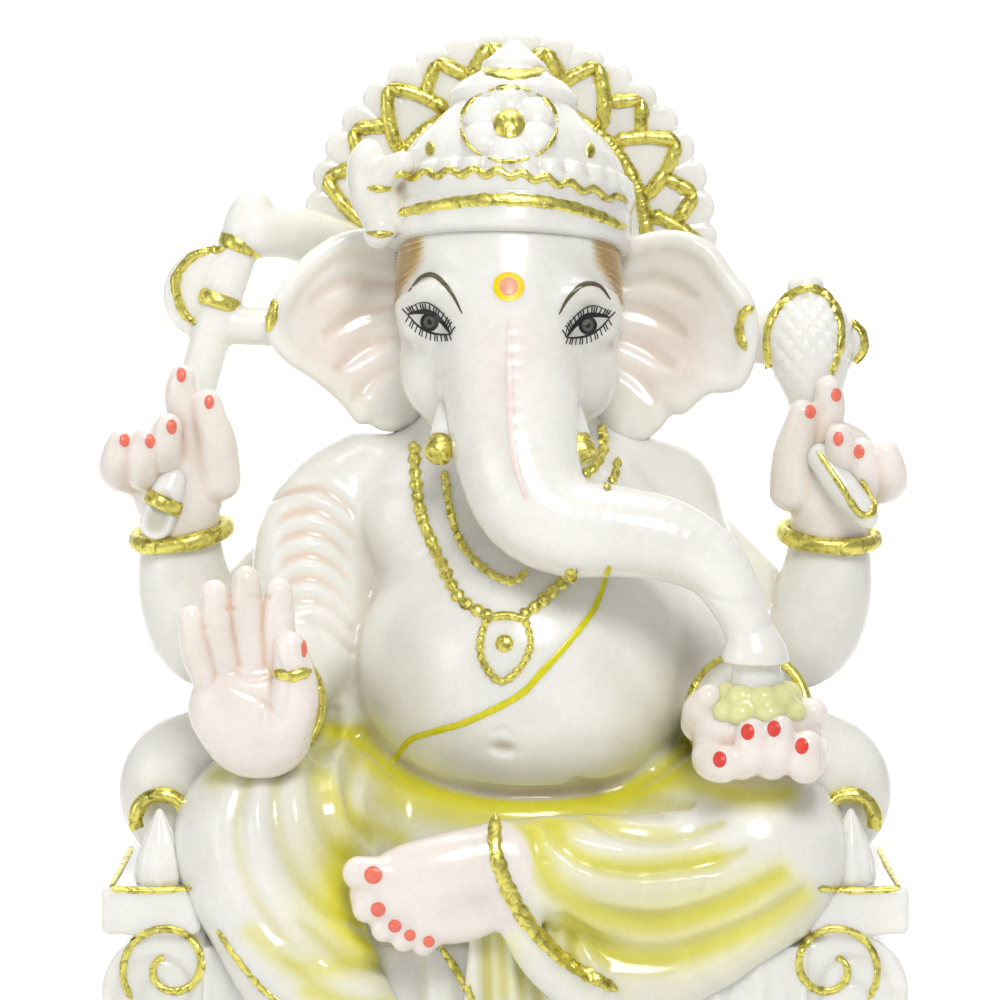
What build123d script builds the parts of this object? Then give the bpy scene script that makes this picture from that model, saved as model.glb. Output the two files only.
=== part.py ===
from build123d import *
import os
from math import cos, radians, sin, tau

# A seated, four-armed elephant-headed idol of white marble on a throne with scroll arms.
# Frame: +X to the viewer's right, +Y to the back, +Z up, origin on the floor under the middle.
# "left" and "right" in the node names are the viewer's, from the front.
# The figure is drawn about its own upright middle plane, y = 0, and moved back by FIGURE_Y.

os.makedirs("parts", exist_ok=True)

# Driving dimensions, mm
HEIGHT = 305.5
WIDTH = 196.0
DEPTH = 124.0
FIGURE_Y = 7.0

PLINTH_H = 16.0
PLINTH_STEP = 9.0
PLINTH_INSET = 5.0
FRONT_Y = -DEPTH / 2 - FIGURE_Y
BACK_Y = DEPTH / 2 - FIGURE_Y

SEAT_TOP = 84.0
SEAT_HALF_W = 73.0
SEAT_FRONT = -46.0
SEAT_BACK = 46.0
DRAPE_T = 4.5
DRAPE_WAVE = 1.3
DRAPE_FOLDS = 13

LEDGE_TOP = 98.5
LEDGE_T = 11.5
LEDGE_FRONT = -50.0
LEDGE_OUT = 97.0
LEDGE_CORNER = 7.0
SCROLL_R = 14.5
SCROLL_FOOT_R = 11.0
BOLSTER_X = 75.5
BOLSTER_R = 19.4
BOLSTER_FRONT = -36.0
BOLSTER_DOME = 11.0
TASSEL_X = 83.3
TASSEL_Y = -42.5

HALO_X = 1.3
HALO_R = 53.5
HALO_Z = HEIGHT - HALO_R
HALO_FRONT = 36.0
HALO_T = 10.0
HALO_FOOT = 228.0
HALO_RING_R = 36.0
HALO_NOTCH_R = 33.5
HALO_NOTCH_TOP = 262.0
SCALLOPS = 38
SCALLOP_R = 4.6
RAY_STEP = 33.0
FIRST_RAY = -3.0
RING_BARS = 16
TRIM_W = 3.0
TRIM_T = 2.0

HEAD = (1.0, 0.0, 238.0)
HEAD_R = (28.8, 30.0, 34.0)
CROWN_BASE = (0.0, -2.0, 250.0)
CROWN_LEAN = (-12.0, 1.5, 0.0)
CROWN_R = 33.5
ROSETTE_TILT = 48.0

WAIST_TOP = 130.0

BANGLE_R = 12.2
BANGLE_T = 1.7
WRIST_X = 81.5
WRIST_Z = 178.0

bodies = {}


def ellipsoid(centre, radii, turn=(0, 0, 0)):
    return Pos(*centre) * Rot(*turn) * scale(Sphere(1), by=radii)


def limb(*stations):
    """A round limb through stations (x, y, z, radius), square to the path at each."""
    points = [Vector(*s[:3]) for s in stations]
    last = len(points) - 1
    sections = []
    for i, station in enumerate(stations):
        along = (points[min(i + 1, last)] - points[max(i - 1, 0)]).normalized()
        side = (0, 1, 0) if abs(along.Y) < 0.8 else (1, 0, 0)
        plane = Plane(origin=points[i], x_dir=Vector(*side).cross(along), z_dir=along)
        sections.append(plane * Circle(station[3]))
    return loft(sections)


def finger(*stations):
    """A limb with a rounded tip beyond its last station."""
    tip, before = Vector(*stations[-1][:3]), Vector(*stations[-2][:3])
    radius = stations[-1][3]
    out = (tip - before).normalized()
    near, far = tip + out * radius * 0.62, tip + out * radius * 0.9
    return limb(*stations, (*near, radius * 0.72), (*far, radius * 0.4))


def turned(profile, axis=Axis.Z):
    """The solid turned from (radius, height) points joined by a smooth line."""
    (r0, h0), (r1, h1) = profile[0], profile[-1]
    outline = [Spline(*[(r, 0, h) for r, h in profile])]
    if r0 > 0:
        outline.append(Line((r0, 0, h0), (0, 0, h0)))
    if r1 > 0:
        outline.append(Line((r1, 0, h1), (0, 0, h1)))
    outline.append(Line((0, 0, h0), (0, 0, h1)))
    return revolve(make_face(outline), axis)


def bar(a, b, width):
    """A flat bar with round ends from a to b, as a face in the XZ plane."""
    (ax, az), (bx, bz) = a, b
    length = ((bx - ax) ** 2 + (bz - az) ** 2) ** 0.5
    flat = SlotCenterToCenter(length, width)
    along = Vector(bx - ax, 0, bz - az)
    middle = ((ax + bx) / 2, 0, (az + bz) / 2)
    return Plane(origin=middle, x_dir=along, z_dir=(0, -1, 0)) * flat


def mirrored(shape):
    return mirror(shape, about=Plane.YZ)


def same(shape):
    return shape


def add(name, shape, *cut_by):
    """Keeps a piece, with its neighbours' shapes cut out of its seat."""
    for other in cut_by:
        shape = shape - bodies[other]
    bodies[name] = max(shape.solids(), key=lambda solid: solid.volume)


def add_group(name, shapes, least=5.0):
    """Keeps several separate solids in one node, without slivers under least mm3."""
    solids = [solid for shape in shapes for solid in shape.solids()]
    bodies[name] = Compound(children=[s for s in solids if s.volume > least])


# Throne

def plinth():
    low = Pos(0, (FRONT_Y + BACK_Y) / 2, PLINTH_STEP / 2) * Box(WIDTH, DEPTH, PLINTH_STEP)
    low = fillet(low.edges().filter_by(Axis.Z), 8)
    top_h = PLINTH_H - PLINTH_STEP
    top = Box(WIDTH - 2 * PLINTH_INSET, DEPTH - 2 * PLINTH_INSET, top_h)
    top = fillet(top.edges().filter_by(Axis.Z), 6)
    return low + Pos(0, (FRONT_Y + BACK_Y) / 2, PLINTH_STEP + top_h / 2) * top


def seat_block():
    block = Box(2 * SEAT_HALF_W, SEAT_BACK - SEAT_FRONT, SEAT_TOP - PLINTH_H)
    return Pos(0, (SEAT_FRONT + SEAT_BACK) / 2, (SEAT_TOP + PLINTH_H) / 2) * block


def seat_drape():
    """The cloth over the seat's front, whose folds run straight down."""
    steps = DRAPE_FOLDS * 4
    wave = []
    for i in range(steps + 1):
        x = SEAT_HALF_W * (2 * i / steps - 1)
        y = SEAT_FRONT - DRAPE_T + DRAPE_WAVE * cos(tau * DRAPE_FOLDS * i / steps)
        wave.append((x, y))
    edge = Spline(*wave)
    back = Polyline(wave[-1], (SEAT_HALF_W, SEAT_FRONT), (-SEAT_HALF_W, SEAT_FRONT), wave[0])
    return Pos(0, 0, PLINTH_H) * extrude(make_face([edge, back]), SEAT_TOP - PLINTH_H)


def console(depth=SEAT_BACK - LEDGE_FRONT - 4):
    """The scroll bracket under the right-hand ledge: a big volute over a small one."""
    big = (83.0, LEDGE_TOP - LEDGE_T - SCROLL_R)
    small = (85.0, PLINTH_H + SCROLL_FOOT_R)
    flat = Pos(*big) * Circle(SCROLL_R) + Pos(*small) * Circle(SCROLL_FOOT_R)
    neck = [(SEAT_HALF_W, 60), (88, 60), (82, 44), (90, 32), (SEAT_HALF_W, 32)]
    flat += make_face(Polyline(*neck, close=True))
    root = Pos(SEAT_HALF_W + 5, (PLINTH_H + LEDGE_TOP - LEDGE_T) / 2)
    flat += root * Rectangle(10, LEDGE_TOP - LEDGE_T - PLINTH_H)
    flat -= Pos(SEAT_HALF_W - 20, 50) * Rectangle(40, 140)
    standing = Plane(origin=(0, LEDGE_FRONT + 2, 0), x_dir=(1, 0, 0), z_dir=(0, -1, 0))
    return extrude(standing * flat, -depth)


def ledge():
    """The right-hand arm's flat ledge, round at its lower outer corner."""
    low = LEDGE_TOP - LEDGE_T
    inner, outer = SEAT_HALF_W, LEDGE_OUT
    run = [
        Line((inner, low), (outer - LEDGE_CORNER, low)),
        RadiusArc((outer - LEDGE_CORNER, low), (outer, low + LEDGE_CORNER), -LEDGE_CORNER),
        Line((outer, low + LEDGE_CORNER), (outer - 1.5, LEDGE_TOP)),
        Line((outer - 1.5, LEDGE_TOP), (inner, LEDGE_TOP)),
        Line((inner, LEDGE_TOP), (inner, low)),
    ]
    standing = Plane(origin=(0, LEDGE_FRONT, 0), x_dir=(1, 0, 0), z_dir=(0, -1, 0))
    return extrude(standing * make_face(run), LEDGE_FRONT - SEAT_BACK)


def bolster():
    """The round arm cushion, with domed ends, lying front to back on the ledge."""
    r, dome = BOLSTER_R, BOLSTER_DOME
    length = SEAT_BACK - 2 - BOLSTER_FRONT
    square = ((1, 0), (0, 1))
    front = Spline((0, 0), (r * 0.6, dome * 0.2), (r * 0.9, dome * 0.56), (r, dome), tangents=square)
    flat = Spline(
        (0, length), (r * 0.6, length - dome * 0.2), (r * 0.9, length - dome * 0.56), (r, length - dome),
        tangents=((1, 0), (0, -1)),
    )
    outline = [front, Line((r, dome), (r, length - dome)), flat, Line((0, length), (0, 0))]
    return Pos(BOLSTER_X, BOLSTER_FRONT, LEDGE_TOP + r) * revolve(make_face(outline), Axis.Y)


def tassel():
    profile = [(4.2, 0), (5.8, 3), (5.2, 8), (3.0, 14), (1.2, 17.5), (0, 18.6)]
    return Pos(TASSEL_X, TASSEL_Y, LEDGE_TOP) * turned(profile)


def bolster_ring():
    """The half ring of the cushion's gathered end, over the tassel's tip."""
    arc = CenterArc((0, 0), 5.6, -15, 210)
    plane = Plane(origin=(TASSEL_X, -37.6, 113.5), x_dir=(1, 0, 0), z_dir=(0, -1, 0))
    path = plane * arc
    start = Plane(origin=path @ 0, z_dir=path % 0)
    return sweep(start * Circle(1.5), path)


# Halo

def halo_flat():
    flat = Circle(HALO_R - SCALLOP_R * 0.55)
    flat += PolarLocations(HALO_R - SCALLOP_R, SCALLOPS) * Circle(SCALLOP_R)
    foot = HALO_FOOT - HALO_Z
    notch_top = HALO_NOTCH_TOP - HALO_Z
    flat -= Pos(0, foot - 50) * Rectangle(200, 100)
    flat -= Pos(0, notch_top - 50) * Rectangle(2 * HALO_NOTCH_R, 100)
    return flat


def halo_disc():
    standing = Plane(origin=(HALO_X, HALO_FRONT, HALO_Z), x_dir=(1, 0, 0), z_dir=(0, -1, 0))
    return extrude(standing * halo_flat(), -HALO_T)


def halo_point(angle, radius):
    a = radians(angle)
    return (HALO_X + radius * cos(a), HALO_Z + radius * sin(a))


def halo_trim():
    """The raised gilded ring with its tall and short rays, all on the halo's front."""
    faces = []
    for i in range(RING_BARS):
        a, b = (FIRST_RAY - 9 + 198 * k / RING_BARS for k in (i, i + 1))
        faces.append(bar(halo_point(a, HALO_RING_R), halo_point(b, HALO_RING_R), TRIM_W))
    for k in range(6):
        angle = FIRST_RAY + RAY_STEP * k
        tip = halo_point(angle, HALO_R - 3.2)
        for side in (-13, 13):
            base = halo_point(angle + side, HALO_RING_R + 0.4)
            faces.append(bar(tip, base, TRIM_W))
    for k in range(5):
        angle = FIRST_RAY + RAY_STEP * (k + 0.5)
        tip = halo_point(angle, HALO_R - 3.6)
        for side in (-8, 8):
            base = halo_point(angle + side, HALO_R - 10.5)
            faces.append(bar(tip, base, TRIM_W - 0.4))
    return extrude(Pos(0, HALO_FRONT, 0) * (Sketch() + faces), TRIM_T, dir=(0, -1, 0))


def halo_bracket():
    """The web of stone that carries the halo behind the head."""
    return Pos(HALO_X, 33, 246) * Box(40, 20, 34)


# Head

def head():
    return ellipsoid(HEAD, HEAD_R)


def ear(side):
    """A broad ear, seen from the front, cupped a little forward."""
    if side < 0:
        outline = [(-22, 248), (-39, 253), (-50, 247), (-58, 231), (-49, 219), (-36, 210), (-25, 200)]
    else:
        outline = [(24, 246), (43, 251), (53, 246), (60.5, 233), (57, 221), (40, 212), (27, 199)]
    edge = Spline(*[(x, 0, z) for x, z in outline])
    root = Line((outline[-1][0], 0, outline[-1][1]), (outline[0][0], 0, outline[0][1]))
    return extrude(Pos(0, 8, 0) * make_face([edge, root]), 9, dir=(0, -1, 0))


TRUNK = [
    (0.7, -12, 236, 17.0), (1.0, -22, 224, 17.0), (2.0, -32, 211, 15.5), (3.5, -40, 199, 14.3),
    (8.0, -45, 189, 12.8), (18, -49, 184, 11.4), (32, -52, 183.5, 10.2), (44, -54, 180.5, 8.8),
    (53, -55, 172, 7.2), (57.5, -56, 162, 6.0), (59, -56, 155.0, 7.4),
]


def trunk():
    return limb(*TRUNK)


def tusk_end(side):
    """The tip of a tusk; the right-hand one stands further out, clear of the trunk."""
    return (19.0 if side < 0 else 23.5) * side


def tusk(side):
    end = tusk_end(side)
    return limb((side * 12, -26, 209, 4.2), (end - side * 1.5, -34, 202, 4.0), (end, -38, 197.5, 3.4))


def tusk_cap(side):
    start = Vector(tusk_end(side) + 0.4 * side, -38.2, 197.2)
    out = Vector(side * 1.5, -4, -4.5).normalized()
    return Plane(origin=start, z_dir=out) * Pos(0, 0, 1.4) * Cylinder(3.9, 2.8)


# Crown: drawn upright about its own axis, then leant back with the head

def leant(shape):
    return Pos(*CROWN_BASE) * Rot(*CROWN_LEAN) * shape


def crown_band():
    r = CROWN_R
    profile = [(r - 2, 0), (r - 0.4, 2), (r, 5), (r - 0.6, 9), (r - 2, 13)]
    return leant(turned(profile))


def crown_dome():
    profile = [(CROWN_R - 2, 13), (31, 18), (27.5, 25), (22, 31), (16.5, 36)]
    return leant(turned(profile))


def crown_cap():
    return leant(turned([(16.5, 36), (17, 38.5), (14.5, 42), (9, 44.5), (7.9, 45)]))


def crown_finial():
    ring = Pos(0, 0, 46.4) * Cylinder(8.0, 2.8)
    tip = turned([(6.8, 47.8), (5.0, 50), (2.4, 52.4), (0, 53.4)])
    return leant(ring + tip)


def crown_rosette():
    """Five petals round a boss, set on the dome's front."""
    petals = Sketch() + [
        Rot(0, 0, 90 + 72 * k) * Pos(7.6, 0) * Ellipse(5.6, 4.6) for k in range(5)
    ]
    petals += Circle(6)
    disc = extrude(petals, 3) + Pos(0, 0, 1.5) * Cylinder(4.1, 5)
    out = (0, -sin(radians(ROSETTE_TILT)), cos(radians(ROSETTE_TILT)))
    return Plane(origin=(0.9, -21.5, 281), x_dir=(1, 0, 0), z_dir=out) * Pos(0, 0, -1.0) * disc


def crown_crest():
    """The curled leaf at the left end of the band."""
    root, belly = (-30, -14, 262, 5.4), (-32.5, -13, 268, 5.4)
    return limb(root, belly, (-34, -12, 273.5, 3.8), (-35, -11.5, 277.5, 2.0))


# Body

def torso():
    belly = ellipsoid((5.5, -6, 150), (43, 40, 35))
    chest = ellipsoid((1, 10, 184), (46, 26, 27))
    shoulders = ellipsoid((-37, 12, 190), (16, 15, 15)) + ellipsoid((38, 12, 189), (16, 15, 15))
    neck = limb((1, 6, 196, 22), (1, 4, 210, 20))
    return belly + chest + shoulders + neck


def waist():
    wrap = ellipsoid((3, 2, 112), (52, 43, 34))
    slab = Pos(0, 0, (SEAT_TOP + WAIST_TOP) / 2) * Box(WIDTH, WIDTH, WAIST_TOP - SEAT_TOP)
    return wrap & slab


def leg_folded():
    """The right-hand leg: thigh out to the knee, shin back across, cloth over the seat's edge."""
    thigh = limb((24, 8, 105, 19), (42, -14, 104.5, 21.6), (60, -33, 104, 21.0))
    knee = ellipsoid((60.5, -37.5, 104), (23.6, 22.5, 22))
    shin = limb((60, -42, 100, 14.5), (38, -47, 100.5, 15), (14, -52, 104, 13.0), (-3, -55, 106, 9.5))
    fall = ellipsoid((40, -48, 84), (34, 11, 15), (0, -25, 0))
    return thigh + knee + shin + fall


def leg_pendant():
    """The left-hand leg: thigh out to the knee, shin down before the seat."""
    thigh = limb((-23, 9, 106, 19), (-41, -14, 105.5, 22.4), (-55, -33, 105.5, 21.5))
    knee = ellipsoid((-56.5, -39, 106), (23.5, 23, 23.6))
    shin = limb((-56, -46, 98, 16.5), (-45, -50.5, 76, 15.5), (-33, -52.5, 53, 13), (-25, -51, 31, 9.5))
    return thigh + knee + shin


def foot_folded():
    sole = limb((0, -57, 106, 8.0), (-10, -59, 104, 8.8), (-20, -59.5, 101, 9.2), (-26, -59.5, 99, 7.5))
    toes = finger((-22, -60, 107, 4.2), (-31, -60.5, 105, 3.9), (-33.5, -60.5, 104, 3.6))
    toes += finger((-21, -60, 101, 3.6), (-29, -60.5, 97.5, 3.2), (-32, -60.5, 96, 2.8))
    toes += finger((-19, -60, 97, 3.4), (-26, -60.5, 93, 2.9), (-28.5, -60.5, 91.5, 2.5))
    toes += finger((-16, -60, 95, 3.2), (-22, -60.5, 91, 2.7), (-24.5, -60.5, 89.5, 2.4))
    toes += finger((-12, -60, 94, 3.2), (-17.5, -60.5, 89.5, 2.6), (-20, -60.5, 88, 2.3))
    return sole + toes


def foot_pendant():
    sole = limb((-24, -45, 26, 8.5), (-25, -51, 24, 8.8), (-27, -58, 21.5, 6.5), (-28, -62, 20, 5.0))
    toes = finger((-22.6, -58, 20.5, 3.2), (-22.2, -64, 19.2, 2.9))
    for k in range(4):
        x = -26.3 - 3.4 * k
        toes += finger((x, -57, 20, 2.7), (x - 0.6, -63.2 + 0.9 * k, 18.8, 2.3))
    return sole + toes


def centre_pleats():
    """The end of the waist cloth, hanging in pleats between the legs."""
    folds, steps = 4, 16
    wave = []
    for i in range(steps + 1):
        x = -16 + 42 * i / steps
        wave.append((x, -57 + 1.4 * cos(tau * folds * i / steps)))
    back = Polyline(wave[-1], (26, -51.8), (-16, -51.8), wave[0])
    panel = extrude(make_face([Spline(*wave), back]), 66)
    return Pos(0, 0, 30) * panel


def shawl():
    """The folded cloth over the left-hand shoulder and upper arm."""
    top, middle = [(-40, 8, 200, 13), (-45, 5, 190, 15)], (-47, 0, 176, 15)
    return limb(*top, middle, (-48, -5, 162, 14), (-48, -8, 150, 12))


def arm(shoulder, elbow, wrist):
    """An upper arm and a forearm that meet in a round elbow; points are (x, y, z, radius)."""
    (sx, sy, sz, _), (ex, ey, ez, er), (wx, wy, wz, _) = shoulder, elbow, wrist
    bend = (ex, ey, ez, er - 0.6)
    upper = limb(shoulder, ((sx + ex) / 2, (sy + ey) / 2, (sz + ez) / 2, er + 0.4), bend)
    fore = limb(bend, ((ex + wx) / 2, (ey + wy) / 2, (ez + wz) / 2, er - 0.8), wrist)
    return upper + fore + Pos(ex, ey, ez) * Sphere(er)


def arm_rear():
    """The right-hand rear arm, from behind the chest to the wrist."""
    return arm((40, 19, 180, 11.5), (70, 14, 150, 12.5), (WRIST_X, 6, WRIST_Z + 6, 9.8))


def arm_front_left():
    return arm((-49, 0, 162, 12.5), (-57.5, -20, 141, 12.2), (-60, -46, 140, 9.8))


def arm_front_right():
    return arm((41, 8, 188, 13.5), (64, -14, 147, 13), (60, -42, 135, 9.6))


# Hands

def hand_rear():
    """The right-hand rear hand: a fist round the upright shaft, index finger up."""
    palm = ellipsoid((81, 1, 197), (13.2, 9.5, 17), (0, 6, 0))
    digits = finger((79, -2, 208, 4.6), (83.5, -4, 215.5, 4.0), (84.5, -5, 218, 3.2))
    digits += finger((74, -4, 203, 5.0), (75.5, -7, 209, 4.2), (79, -8.5, 212, 3.4))
    for k in range(3):
        digits += ellipsoid((93 - 4.4 * k, -6.2 - 1.1 * k, 204 + 2.3 * k), (3.9, 6.0, 6.8), (0, 14, 0))
    return palm + digits


def hand_open():
    """The raised left-hand palm, fingers up."""
    palm = ellipsoid((-60, -54.5, 146), (14.6, 7.6, 15), (8, 0, 0))
    digits = finger((-70, -55, 153, 4.0), (-72, -56, 162, 3.4), (-72.2, -56.5, 165.5, 3.0))
    digits += finger((-64.5, -56, 155, 4.2), (-66.3, -57.5, 166, 3.7), (-66.5, -58, 170.5, 3.3))
    digits += finger((-58.5, -56, 156, 4.3), (-60, -58, 168, 3.8), (-60.3, -58.5, 173, 3.4))
    digits += finger((-53, -56, 155, 4.3), (-53.9, -57.5, 166, 3.8), (-54.1, -58, 171, 3.4))
    digits += finger((-51, -56, 144, 5.4), (-48.8, -60, 152, 4.6), (-48.6, -61, 158, 3.8))
    return palm + digits


def hand_offering():
    """The right-hand palm, upturned under the sweets."""
    cup = ellipsoid((60, -52, 137), (15.2, 11.5, 9.5))
    digits = finger((52, -58, 133, 4.6), (49.5, -62, 137, 3.8), (49.8, -62.2, 141, 3.2))
    digits += finger((57, -59, 134, 4.8), (56.2, -63, 139, 4.0), (56.6, -62.5, 144, 3.4))
    digits += finger((64, -59, 134, 4.8), (64.2, -63, 139, 4.0), (63.8, -62.5, 144.5, 3.4))
    digits += finger((69, -57, 134, 4.6), (71.5, -61, 137.5, 3.8), (71, -61, 142, 3.2))
    digits += finger((71, -50, 139, 4.6), (75, -52, 144, 3.8), (73, -54, 148, 3.2))
    return cup + digits


def sweets():
    tiers = [(11.0, 0), (11.2, 4), (8.6, 8.5), (7.6, 12.5), (6.2, 15.5)]
    return Pos(59.6, -55.0, 139) * turned(tiers)


def bangle(x, y, z, turn, radius=BANGLE_R):
    return Pos(x, y, z) * Rot(*turn) * Torus(radius, BANGLE_T)


# What the rear hands hold

def axe_shaft():
    foot, middle = [(-79, 4, 212, 4.6), (-75, 8, 224, 4.8)], (-68.5, 11, 244, 4.8)
    return limb(*foot, middle, (-64, 12, 257, 5.0), (-62.5, 12, 261, 3.6))


def axe_blade():
    """A crescent blade on the shaft's outer side."""
    flat = Pos(-73.5, 240.5) * Ellipse(14, 12.5)
    standing = Plane(origin=(0, 8.8, 0), x_dir=(1, 0, 0), z_dir=(0, -1, 0))
    crescent = extrude(standing * flat, -5)
    outer = Pos(-83.8, 11, 241) * Rot(0, 17.5, 0) * Box(24, 20, 40)
    return crescent & outer


def axe_strut():
    """The web from the axe's head back to the halo's foot."""
    return limb((-62, 12, 254, 7.0), (-55, 19, 253.5, 6.5), (-48, 28, 251, 7.0), (-42, 38, 248, 7.5))


def ear_strut_left():
    return limb((-72, 9, 232, 5.5), (-64, 8, 231, 4.8), (-55, 6, 231, 5.6))


def axe_pommel():
    return limb((-84.0, -2, 189.5, 4.6), (-85.5, -4.5, 185, 4.4), (-86, -5.5, 182.3, 3.2))


def club_head():
    """The scaled lotus-bud club in the right-hand rear hand."""
    bud = ellipsoid((76.5, 5, 226), (10.4, 8.2, 13.6))
    neck = limb((78.5, 4, 208, 5.0), (77.5, 4.5, 216, 6.6), (76.5, 5, 224, 8.0))
    knob = limb((75.8, 6, 236, 4.6), (75.2, 6, 241.5, 4.2), (75.0, 6, 245, 2.4))
    return bud + neck + knob


def club_knob():
    return Pos(86.6, 12, 226.5) * Rot(90, 0, 0) * Cylinder(5.4, 6)


def ear_strut_right():
    return limb((56, 7, 229, 8.4), (63, 8, 229, 7.6), (70, 7, 229, 8.2))


def club_grip():
    """The pointed end of the club's handle, below the fist."""
    upper = [(76.5, -8, 200, 3.6), (83, -9.5, 191.5, 3.8)]
    return limb(*upper, (88.8, -10.5, 184.5, 3.0), (90.0, -10.8, 183, 1.8))


# Jewellery

def necklace(points, radius):
    """A round chain along a smooth line on the chest."""
    path = Spline(*points)
    start = Plane(origin=path @ 0, z_dir=path % 0)
    return sweep(start * Circle(radius), path)


LONG_CHAIN = [
    (-21, -18, 205), (-20, -24.5, 190), (-15, -37, 173), (-6, -46.5, 161), (1, -48.0, 157.5),
    (9, -46.6, 163), (17, -40.8, 170), (27, -29.5, 180), (30, -20.5, 194), (29, -16.5, 203),
]
SHORT_CHAIN = [
    (-14, -18.5, 203), (-12, -22.5, 190), (-6, -29.5, 179),
    (2, -33.0, 174.5), (9, -31.8, 176.5), (16, -26, 184),
]


def pendant():
    outline = [(-4.5, 0), (4.5, 0), (6.2, -7), (4.2, -12), (0, -16), (-4.2, -12), (-6.2, -7)]
    face = make_face(Polyline(*outline, close=True))
    plane = Plane(origin=(0.6, -49.5, 159), x_dir=(1, 0, 0), z_dir=(0, -0.99, 0.14))
    return plane * extrude(face, 2.4)


def build_throne():
    add("plinth", plinth())
    add("seat_block", seat_block())
    add("seat_drape", seat_drape())
    for side in ("right", "left"):
        place = mirrored if side == "left" else same
        add(f"arm_console_{side}", place(console()), "seat_block", "plinth")
        add(f"arm_ledge_{side}", place(ledge()))
        add(f"bolster_{side}", place(bolster()))


def build_tassels():
    rings = []
    for side, leg in (("right", "leg_folded"), ("left", "leg_pendant")):
        place = mirrored if side == "left" else same
        add(f"bolster_tassel_{side}", place(tassel()), f"bolster_{side}", leg)
        ring = place(bolster_ring())
        for other in (f"bolster_{side}", f"bolster_tassel_{side}", leg):
            ring = ring - bodies[other]
        rings.append(ring)
    add_group("bolster_rings", rings)


def build_body():
    add("torso", torso())
    add("waist_cloth", waist(), "torso")
    seat = ("torso", "waist_cloth", "seat_block", "seat_drape")
    arm_right = ("arm_ledge_right", "arm_console_right", "bolster_right")
    arm_left = ("arm_ledge_left", "arm_console_left", "bolster_left")
    add("leg_folded", leg_folded(), *seat, *arm_right)
    add("leg_pendant", leg_pendant(), *seat, *arm_left, "leg_folded")
    add("foot_folded", foot_folded(), "leg_folded", "leg_pendant")
    add("foot_pendant", foot_pendant(), "leg_pendant", "plinth", "seat_drape", "seat_block")
    add("centre_pleats", centre_pleats(), "leg_folded", "leg_pendant", "foot_folded", "seat_drape")


def build_head():
    add("head", head(), "torso")
    add("trunk", trunk(), "head", "torso")
    caps = []
    for side, name in ((-1, "left"), (1, "right")):
        add(f"ear_{name}", ear(side), "head", "torso")
        add(f"tusk_{name}", tusk(side), "head", "trunk")
        cap = tusk_cap(side)
        for other in ("trunk", f"tusk_{name}"):
            cap = cap - bodies[other]
        caps.append(cap)
    add_group("tusk_caps", caps)
    add("crown_band", crown_band(), "head", "ear_left", "ear_right")
    add("crown_dome", crown_dome(), "head", "crown_band")
    add("crown_cap", crown_cap())
    add("crown_finial", crown_finial())
    add("crown_rosette", crown_rosette(), "crown_dome", "crown_cap", "crown_band")
    add("crown_crest", crown_crest(), "crown_band", "crown_dome")


def build_halo():
    add("halo", halo_disc(), "head", "crown_band", "crown_dome")
    add_group("halo_trim", [halo_trim() - bodies["crown_dome"]])
    add("halo_bracket", halo_bracket(), "head", "crown_band", "crown_dome", "halo", "torso")


def build_arms():
    add("shawl", shawl(), "torso", "ear_left", "head")
    add("arm_rear_right", arm_rear(), "torso", "bolster_right")
    add("arm_rear_left", mirrored(arm_rear()), "torso", "bolster_left", "shawl")
    near_right = ("torso", "arm_rear_right", "leg_folded", "ear_right", "waist_cloth", "bolster_right")
    add("arm_front_right", arm_front_right(), *near_right)
    near_left = ("torso", "shawl", "leg_pendant", "arm_rear_left", "waist_cloth", "bolster_left")
    add("arm_front_left", arm_front_left(), *near_left)
    left = bangle(-59.5, -41, 140, (72, 0, 10), 12.0)
    right = bangle(60.2, -31.5, 138.3, (66, 0, -10), 12.4)
    for other in ("arm_front_left", "leg_pendant"):
        left = left - bodies[other]
    for other in ("arm_front_right", "leg_folded", "torso", "waist_cloth"):
        right = right - bodies[other]
    add_group("bangles_front", [left, right])
    add("hand_open", hand_open(), "arm_front_left", "leg_pendant", "bangles_front")
    add("sweets", sweets(), "trunk", "arm_front_right", "bangles_front")
    near_sweets = ("arm_front_right", "sweets", "leg_folded", "trunk", "torso", "bangles_front")
    add("hand_offering", hand_offering(), *near_sweets)


def build_attributes():
    """The rear hands with the axe and the club that they hold."""
    add("axe_shaft", axe_shaft())
    add("axe_pommel", axe_pommel())
    add("club_head", club_head())
    add("club_grip", club_grip())
    add("bangle_rear_right", bangle(WRIST_X, 6, WRIST_Z, (6, 4, 0)), "arm_rear_right")
    add("bangle_rear_left", bangle(-WRIST_X, 6, WRIST_Z, (6, -8, 0)), "arm_rear_left")
    round_right = ("arm_rear_right", "bangle_rear_right", "club_head", "club_grip")
    add("hand_rear_right", hand_rear(), *round_right)
    round_left = ("arm_rear_left", "bangle_rear_left", "axe_shaft", "axe_pommel")
    add("hand_rear_left", mirrored(hand_rear()), *round_left)
    add("axe_blade", axe_blade(), "axe_shaft")
    add("axe_strut", axe_strut(), "axe_shaft", "ear_left", "halo", "halo_bracket")
    add("ear_strut_left", ear_strut_left(), "axe_shaft", "ear_left", "axe_blade")
    add("ear_strut_right", ear_strut_right(), "club_head", "ear_right")
    add("club_knob", club_knob(), "club_head")


def build_jewellery():
    add("chain_long", necklace(LONG_CHAIN, 1.5), "torso", "head", "ear_right", "trunk")
    add("chain_short", necklace(SHORT_CHAIN, 1.3), "torso", "head", "trunk")
    add("pendant", pendant(), "torso", "chain_long")


build_throne()
build_body()
build_head()
build_halo()
build_arms()
build_tassels()
build_attributes()
build_jewellery()
for name, shape in bodies.items():
    export_step(Pos(0, FIGURE_Y, 0) * shape, f"parts/{name}.step")
print(len(bodies), "nodes")
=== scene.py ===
import math
import random

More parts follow.
